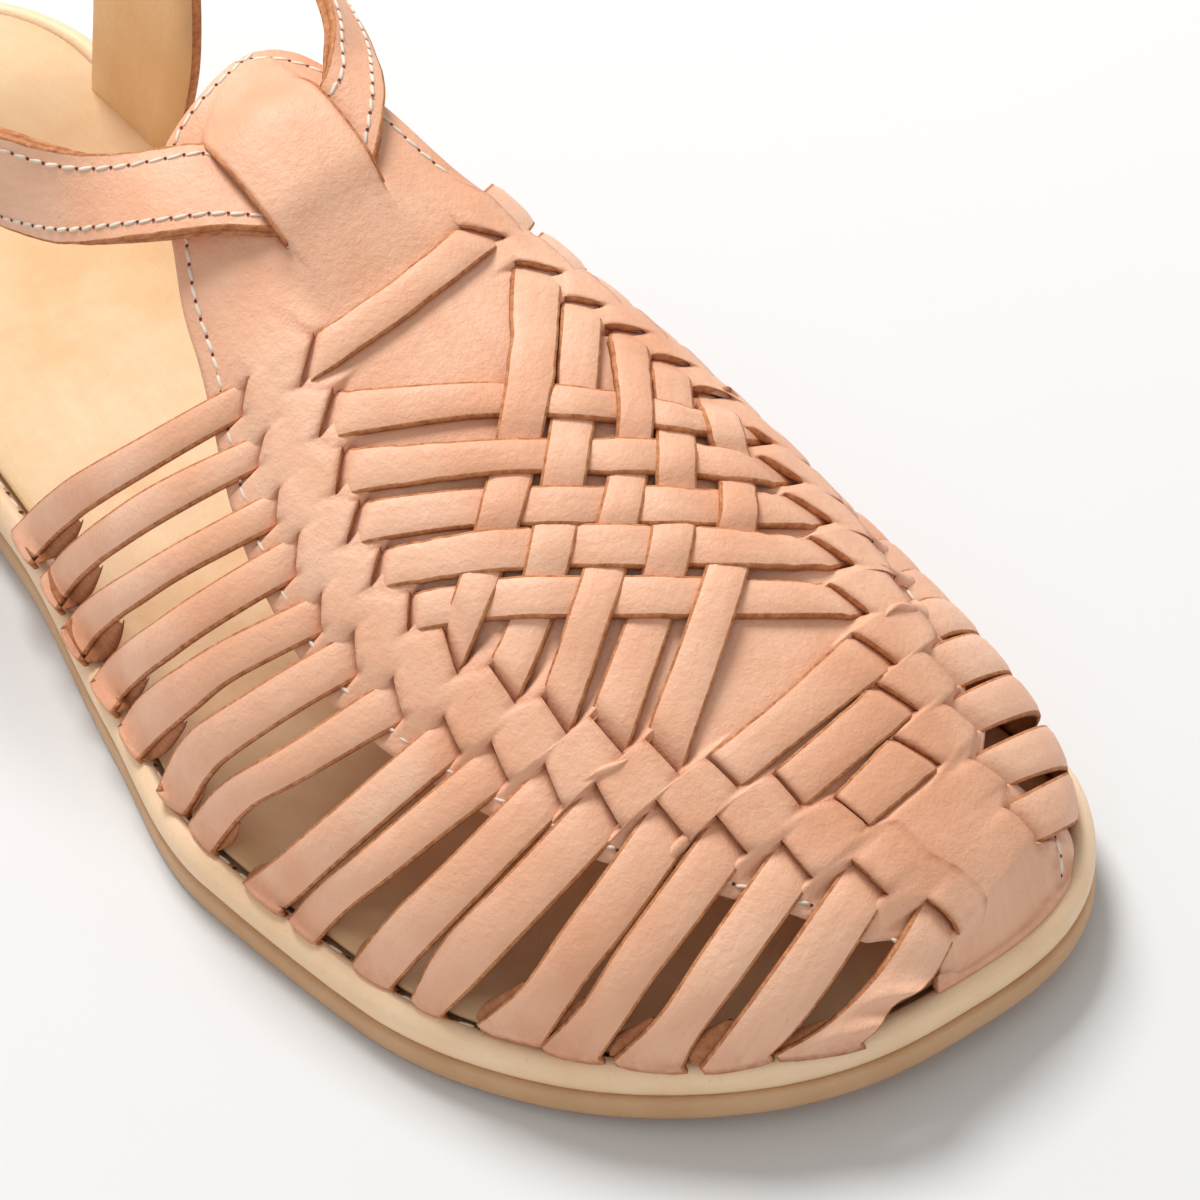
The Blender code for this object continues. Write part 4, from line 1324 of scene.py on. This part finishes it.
def make_side_loop(name, side, strap_z, shift, foot, materials):
    """Band from the seam at the heel's side, folded over the ankle strap and down again."""
    inside = STRAP_Y - LOOP_GAP
    outside = STRAP_Y + LOOP_GAP
    top = strap_z + 10.6
    rows = smooth_path([
        (foot, SEAT_HEIGHT + GAP + 0.4, LOOP_X - 7.0, 10.5),
        (foot + 0.2, 14.0, LOOP_X - 6.0, 10.8),
        (foot + 0.8, 24.0, LOOP_X - 3.0, 12.2),
        (foot + 1.6, 36.0, LOOP_X - 0.5, 12.6),
        (inside, 50.0, LOOP_X, LOOP_HALF),
        (inside, strap_z + 7.0, LOOP_X, LOOP_HALF),
        (inside + 0.9, top - 0.7, LOOP_X, LOOP_HALF),
        (STRAP_Y, top, LOOP_X, LOOP_HALF),
        (outside - 0.9, top - 0.7, LOOP_X, LOOP_HALF),
        (outside, strap_z + 7.0, LOOP_X, LOOP_HALF),
        (outside, strap_z - 9.0, LOOP_X, LOOP_HALF),
        (outside - 1.6, strap_z - 14.0, LOOP_X, 8.0),
    ], 5)
    shape = Shape()
    stations = []
    for index, (y, z, x, half) in enumerate(rows):
        before, after = rows[max(index - 1, 0)], rows[min(index + 1, len(rows) - 1)]
        direction = Vector((0, side * (after[0] - before[0]), after[1] - before[1])).normalized()
        normal = Vector((0, direction.z, -direction.y)) * side
        near = Vector((x + shift - half, side * y, z))
        far = Vector((x + shift + half, side * y, z))
        stations.append((near, far, normal, 0.0))
    oriented(stations)
    add_ribbon(shape, stations, LOOP_THICK, 0.1, 0.1, 140)
    return shape.piece(name + "_band", name, materials)


def node_tree(name):
    material = bpy.data.materials.new(name)
    material.use_nodes = True
    tree = material.node_tree
    return material, tree, tree.nodes["Principled BSDF"]


def texture_place(tree, source):
    """Coordinates in millimetres: of the object, or along and across a strap."""
    if source == "flow":
        node = tree.nodes.new("ShaderNodeAttribute")
        node.attribute_name = "flow"
        return node.outputs["Vector"]
    node = tree.nodes.new("ShaderNodeTexCoord")
    scale = tree.nodes.new("ShaderNodeVectorMath")
    scale.operation = "SCALE"
    scale.inputs["Scale"].default_value = 1000.0
    tree.links.new(node.outputs["Object"], scale.inputs[0])
    return scale.outputs[0]


def add_noise(tree, place, scale, detail=2.0, roughness=0.5, stretch=None):
    node = tree.nodes.new("ShaderNodeTexNoise")
    node.inputs["Scale"].default_value = scale
    node.inputs["Detail"].default_value = detail
    node.inputs["Roughness"].default_value = roughness
    if stretch is not None:
        mapping = tree.nodes.new("ShaderNodeMapping")
        mapping.inputs["Scale"].default_value = stretch
        tree.links.new(place, mapping.inputs["Vector"])
        place = mapping.outputs["Vector"]
    tree.links.new(place, node.inputs["Vector"])
    return node.outputs["Fac"]


def add_range(tree, value, low, high, to_low=0.0, to_high=1.0):
    node = tree.nodes.new("ShaderNodeMapRange")
    node.inputs["From Min"].default_value = low
    node.inputs["From Max"].default_value = high
    node.inputs["To Min"].default_value = to_low
    node.inputs["To Max"].default_value = to_high
    tree.links.new(value, node.inputs["Value"])
    return node.outputs["Result"]


def add_math(tree, operation, first, second):
    node = tree.nodes.new("ShaderNodeMath")
    node.operation = operation
    tree.links.new(first, node.inputs[0])
    tree.links.new(second, node.inputs[1])
    return node.outputs[0]


def add_mix(tree, share, first, second):
    node = tree.nodes.new("ShaderNodeMix")
    node.data_type = "RGBA"
    for number, value in ((0, share), (6, first), (7, second)):
        if isinstance(value, tuple):
            node.inputs[number].default_value = (*value, 1.0)
        else:
            tree.links.new(value, node.inputs[number])
    return node.outputs[2]


def add_value(tree, name):
    node = tree.nodes.new("ShaderNodeAttribute")
    node.attribute_name = name
    return node.outputs["Fac"]


def add_bump(tree, height, distance, strength=1.0, below=None):
    node = tree.nodes.new("ShaderNodeBump")
    node.inputs["Distance"].default_value = distance * MM
    node.inputs["Strength"].default_value = strength
    tree.links.new(height, node.inputs["Height"])
    if below is not None:
        tree.links.new(below, node.inputs["Normal"])
    return node.outputs["Normal"]


def shade(level):
    """Linear value of one channel of a colour given from 0 to 255."""
    level = level / 255
    return level / 12.92 if level <= 0.04045 else ((level + 0.055) / 1.055) ** 2.4


def colour(red, green, blue):
    return shade(red), shade(green), shade(blue)


def grain_leather(name, light, deep, speck_and_shade, roughness=0.5, grain=0.05):
    """Smooth vegetable tanned leather: cloudy colour, fine specks, darker with painted shade where the
    mesh marks it, fine grain.
    """
    light, deep, speck_and_shade = colour(*light), colour(*deep), colour(*speck_and_shade)
    material, tree, shader = node_tree(name)
    place = texture_place(tree, "object")
    flow = texture_place(tree, "flow")
    clouds = add_range(tree, add_noise(tree, place, 0.045, 3.0, 0.55), 0.36, 0.66)
    body = add_mix(tree, clouds, light, deep)
    tone = add_range(tree, add_value(tree, "tone"), -1.0, 1.0, 0.0, 0.32)
    body = add_mix(tree, tone, body, deep)
    fibres = add_noise(tree, flow, 1.0, 4.0, 0.6, (0.12, 0.9, 0.6))
    streaks = add_range(tree, fibres, 0.42, 0.75, 0.0, 0.35)
    body = add_mix(tree, streaks, body, deep)
    specks = add_range(tree, add_noise(tree, place, 1.9, 3.0, 0.6), 0.62, 0.8, 0.0, 0.3)
    body = add_mix(tree, specks, body, speck_and_shade)
    # Painted shade in the third colour where the mesh marks it, broken up by noise; the same colour also
    # gives the fine specks above
    shade_breakup = add_range(tree, add_noise(tree, place, 0.7, 3.0, 0.6), 0.3, 0.7, 0.35, 1.0)
    painted_shade = add_math(tree, "MULTIPLY", add_value(tree, "painted_shade"), shade_breakup)
    body = add_mix(tree, painted_shade, body, speck_and_shade)
    tree.links.new(body, shader.inputs["Base Color"])
    wear = add_noise(tree, place, 0.5, 2.0, 0.5)
    rough = add_range(tree, wear, 0.3, 0.7, roughness - 0.08, roughness + 0.08)
    tree.links.new(rough, shader.inputs["Roughness"])
    shader.inputs["Specular IOR Level"].default_value = 0.35
    pores = add_noise(tree, place, 2.6, 4.0, 0.65)
    lines = add_noise(tree, place, 0.9, 3.0, 0.6)
    normal = add_bump(tree, lines, grain * 2.2)
    normal = add_bump(tree, pores, grain, 1.0, normal)
    tree.links.new(normal, shader.inputs["Normal"])
    return material


def raw_edge(name, light, deep):
    """Cut edge of leather: fibrous, orange brown, mottled."""
    material, tree, shader = node_tree(name)
    place = texture_place(tree, "object")
    mottle = add_range(tree, add_noise(tree, place, 0.8, 4.0, 0.7), 0.3, 0.7)
    body = add_mix(tree, mottle, colour(*light), colour(*deep))
    tree.links.new(body, shader.inputs["Base Color"])
    shader.inputs["Roughness"].default_value = 0.8
    fibres = add_noise(tree, place, 4.0, 4.0, 0.7)
    tree.links.new(add_bump(tree, fibres, 0.25), shader.inputs["Normal"])
    return material


def plain_finish(name, base, roughness, metallic=0.0):
    material, tree, shader = node_tree(name)
    place = texture_place(tree, "object")
    darker = tuple(channel * 0.8 for channel in base)
    body = add_mix(tree, add_range(tree, add_noise(tree, place, 0.4, 3.0), 0.3, 0.7), base, darker)
    tree.links.new(body, shader.inputs["Base Color"])
    shader.inputs["Roughness"].default_value = roughness
    shader.inputs["Metallic"].default_value = metallic
    return material


FLOOR_SIZE = 4000.0
FLOOR_DROP = 0.2
FLOOR_WHITE = (0.72, 0.72, 0.72, 1.0)


def make_floor():
    signs = ((-1, -1), (1, -1), (1, 1), (-1, 1))
    corners = [(x * FLOOR_SIZE * MM, y * FLOOR_SIZE * MM, -FLOOR_DROP * MM) for x, y in signs]
    mesh = bpy.data.meshes.new("floor")
    mesh.from_pydata(corners, [], [(0, 1, 2, 3)])
    floor = bpy.data.objects.new("floor", mesh)
    bpy.context.scene.collection.objects.link(floor)
    material, _, shader = node_tree("floor_white")
    shader.inputs["Base Color"].default_value = FLOOR_WHITE
    shader.inputs["Roughness"].default_value = 0.9
    shader.inputs["Specular IOR Level"].default_value = 0.0
    mesh.materials.append(material)


# Lights in metres and watts: name, place, size across, power
LIGHTS = [
    ("key", (-0.56, 0.12, 1.05), 0.5, 13.5),
    ("fill", (0.5, -0.9, 0.9), 1.0, 1.2),
]
LIGHT_TARGET = Vector((0.03, 0.0, 0.03))
WORLD_COLOUR = (1.0, 0.995, 0.985, 1.0)
WORLD_STRENGTH = 0.54


def make_lights():
    world = bpy.data.worlds.new("studio")
    bpy.context.scene.world = world
    world.use_nodes = True
    background = world.node_tree.nodes["Background"]
    background.inputs["Color"].default_value = WORLD_COLOUR
    background.inputs["Strength"].default_value = WORLD_STRENGTH
    for name, place, size, power in LIGHTS:
        data = bpy.data.lights.new(name, "AREA")
        data.shape = "DISK"
        data.size = size
        data.energy = power
        lamp = bpy.data.objects.new(name, data)
        bpy.context.scene.collection.objects.link(lamp)
        lamp.location = place
        lamp.rotation_mode = "QUATERNION"
        lamp.rotation_quaternion = (LIGHT_TARGET - Vector(place)).to_track_quat("-Z", "Y")


SENSOR = 36.0


def make_camera():
    data = bpy.data.cameras.new("camera")
    data.sensor_width = SENSOR
    data.lens = FOCAL / PICTURE * SENSOR
    data.clip_start = 0.05
    data.clip_end = 20.0
    camera = bpy.data.objects.new("camera", data)
    bpy.context.scene.collection.objects.link(camera)
    eye = (EYE - Vector(ORIGIN)) * MM
    turn = Matrix((RIGHT, UP, BACK)).transposed().to_4x4()
    camera.matrix_world = Matrix.Translation(eye) @ turn
    bpy.context.scene.camera = camera


def set_view():
    settings = bpy.context.scene.view_settings
    settings.view_transform = "Standard"
    settings.look = "None"


# Leathers: light and deep colour, the colour of fine specks and of painted shade, roughness, grain
LEATHERS = {
    "upper_leather": ((244, 196, 165), (228, 166, 130), (172, 90, 50), 0.46, 0.08),
    "rim_leather": ((250, 220, 184), (240, 202, 160), (172, 112, 68), 0.4, 0.05),
    "sock_leather": ((230, 200, 162), (218, 176, 128), (196, 116, 62), 0.55, 0.05),
    "outsole_edge": ((216, 178, 140), (198, 154, 112), (156, 98, 56), 0.6, 0.05),
    "lining": ((244, 208, 160), (232, 190, 138), (196, 138, 92), 0.6, 0.05),
}
# Profiles of the sole's layers: inset, then height above the outsole's top or the seat, bottom to top
OUTSOLE_PROFILE = [(0.9, 0.0), (0.25, 0.3), (0.0, 0.9), (0.0, 2.0), (0.05, 3.2), (0.3, 3.8), (0.9, 4.0)]
RIM_PROFILE = [
    (1.6, -0.2), (0.7, 0.1), (0.25, 0.8), (0.0, 1.6), (0.0, 2.6), (0.15, 3.5), (0.5, 4.3),
    (1.05, 4.9), (1.7, 5.2), (2.3, 5.2), (2.9, 4.9), (3.3, 4.3), (3.6, 3.6),
]
SOCK_PROFILE = [(3.9, -0.4), (3.85, 0.2), (4.3, 0.5), (6.0, 0.7)]
RIM_WRINKLE = 0.05


def raised(profile, start):
    return [(inset, start + height) for inset, height in profile]


def build():
    rng = random.Random(11)
    leathers = {name: grain_leather(name, *values) for name, values in LEATHERS.items()}
    upper = leathers["upper_leather"]
    edge = raw_edge("cut_edge", (230, 160, 106), (170, 94, 50))
    flesh = raw_edge("flesh_side", (206, 140, 96), (178, 104, 62))
    brass = plain_finish("brass", (0.78, 0.6, 0.32), 0.28, 1.0)
    thread = plain_finish("thread", colour(240, 224, 206), 0.7)
    # Near black colour of the awl holes' discs: painted shade of the holes
    hole = plain_finish("awl_hole_painted_shade", colour(96, 48, 28), 0.9)

    rim = raised(RIM_PROFILE, OUTSOLE_THICK + GAP)
    sock = raised(SOCK_PROFILE, SEAT_HEIGHT + GAP)
    make_sole_layer("outsole_layer", "outsole", OUTSOLE_PROFILE, leathers["outsole_edge"])
    make_sole_layer("midsole_rim", "midsole", rim, leathers["rim_leather"], RIM_WRINKLE)
    make_sole_layer("sock", "insole", sock, leathers["sock_leather"])

    panel = make_panel([upper, edge])
    straps = Shape()
    for number, name in enumerate(FIELD_STRIPS):
        field_strip(straps, name, number, rng)
    for number in range(len(LATERAL_STRAPS)):
        lateral_strap(straps, number, rng)
    for number in range(len(MEDIAL_STRAPS)):
        medial_strap(straps, number, rng)
    pieces = [
        (panel, "upper"),
        (straps.piece("woven_straps", "upper", [upper, edge, flesh]), "upper"),
        (make_slit_lips([edge]), "upper"),
        (make_panel_stitches([thread, hole]), "upper"),
        (make_strap_stitches([thread, hole]), "ankle_strap"),
        (make_seam_stitches([thread, hole]), "midsole"),
        (make_ankle_strap([upper, edge, flesh]), "ankle_strap"),
    ]
    for name, *values in SIDE_LOOPS:
        pieces.append((make_side_loop(name, *values, [upper, edge, leathers["lining"]]), name))
    for piece, node in pieces:
        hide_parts(node)

    for name, finish in (("buckle_frame", brass), ("buckle_prong", brass), ("strap_keeper", upper)):
        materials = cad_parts[name].data.materials
        materials.clear()
        materials.append(finish)


build()
make_floor()
make_lights()
make_camera()
set_view()
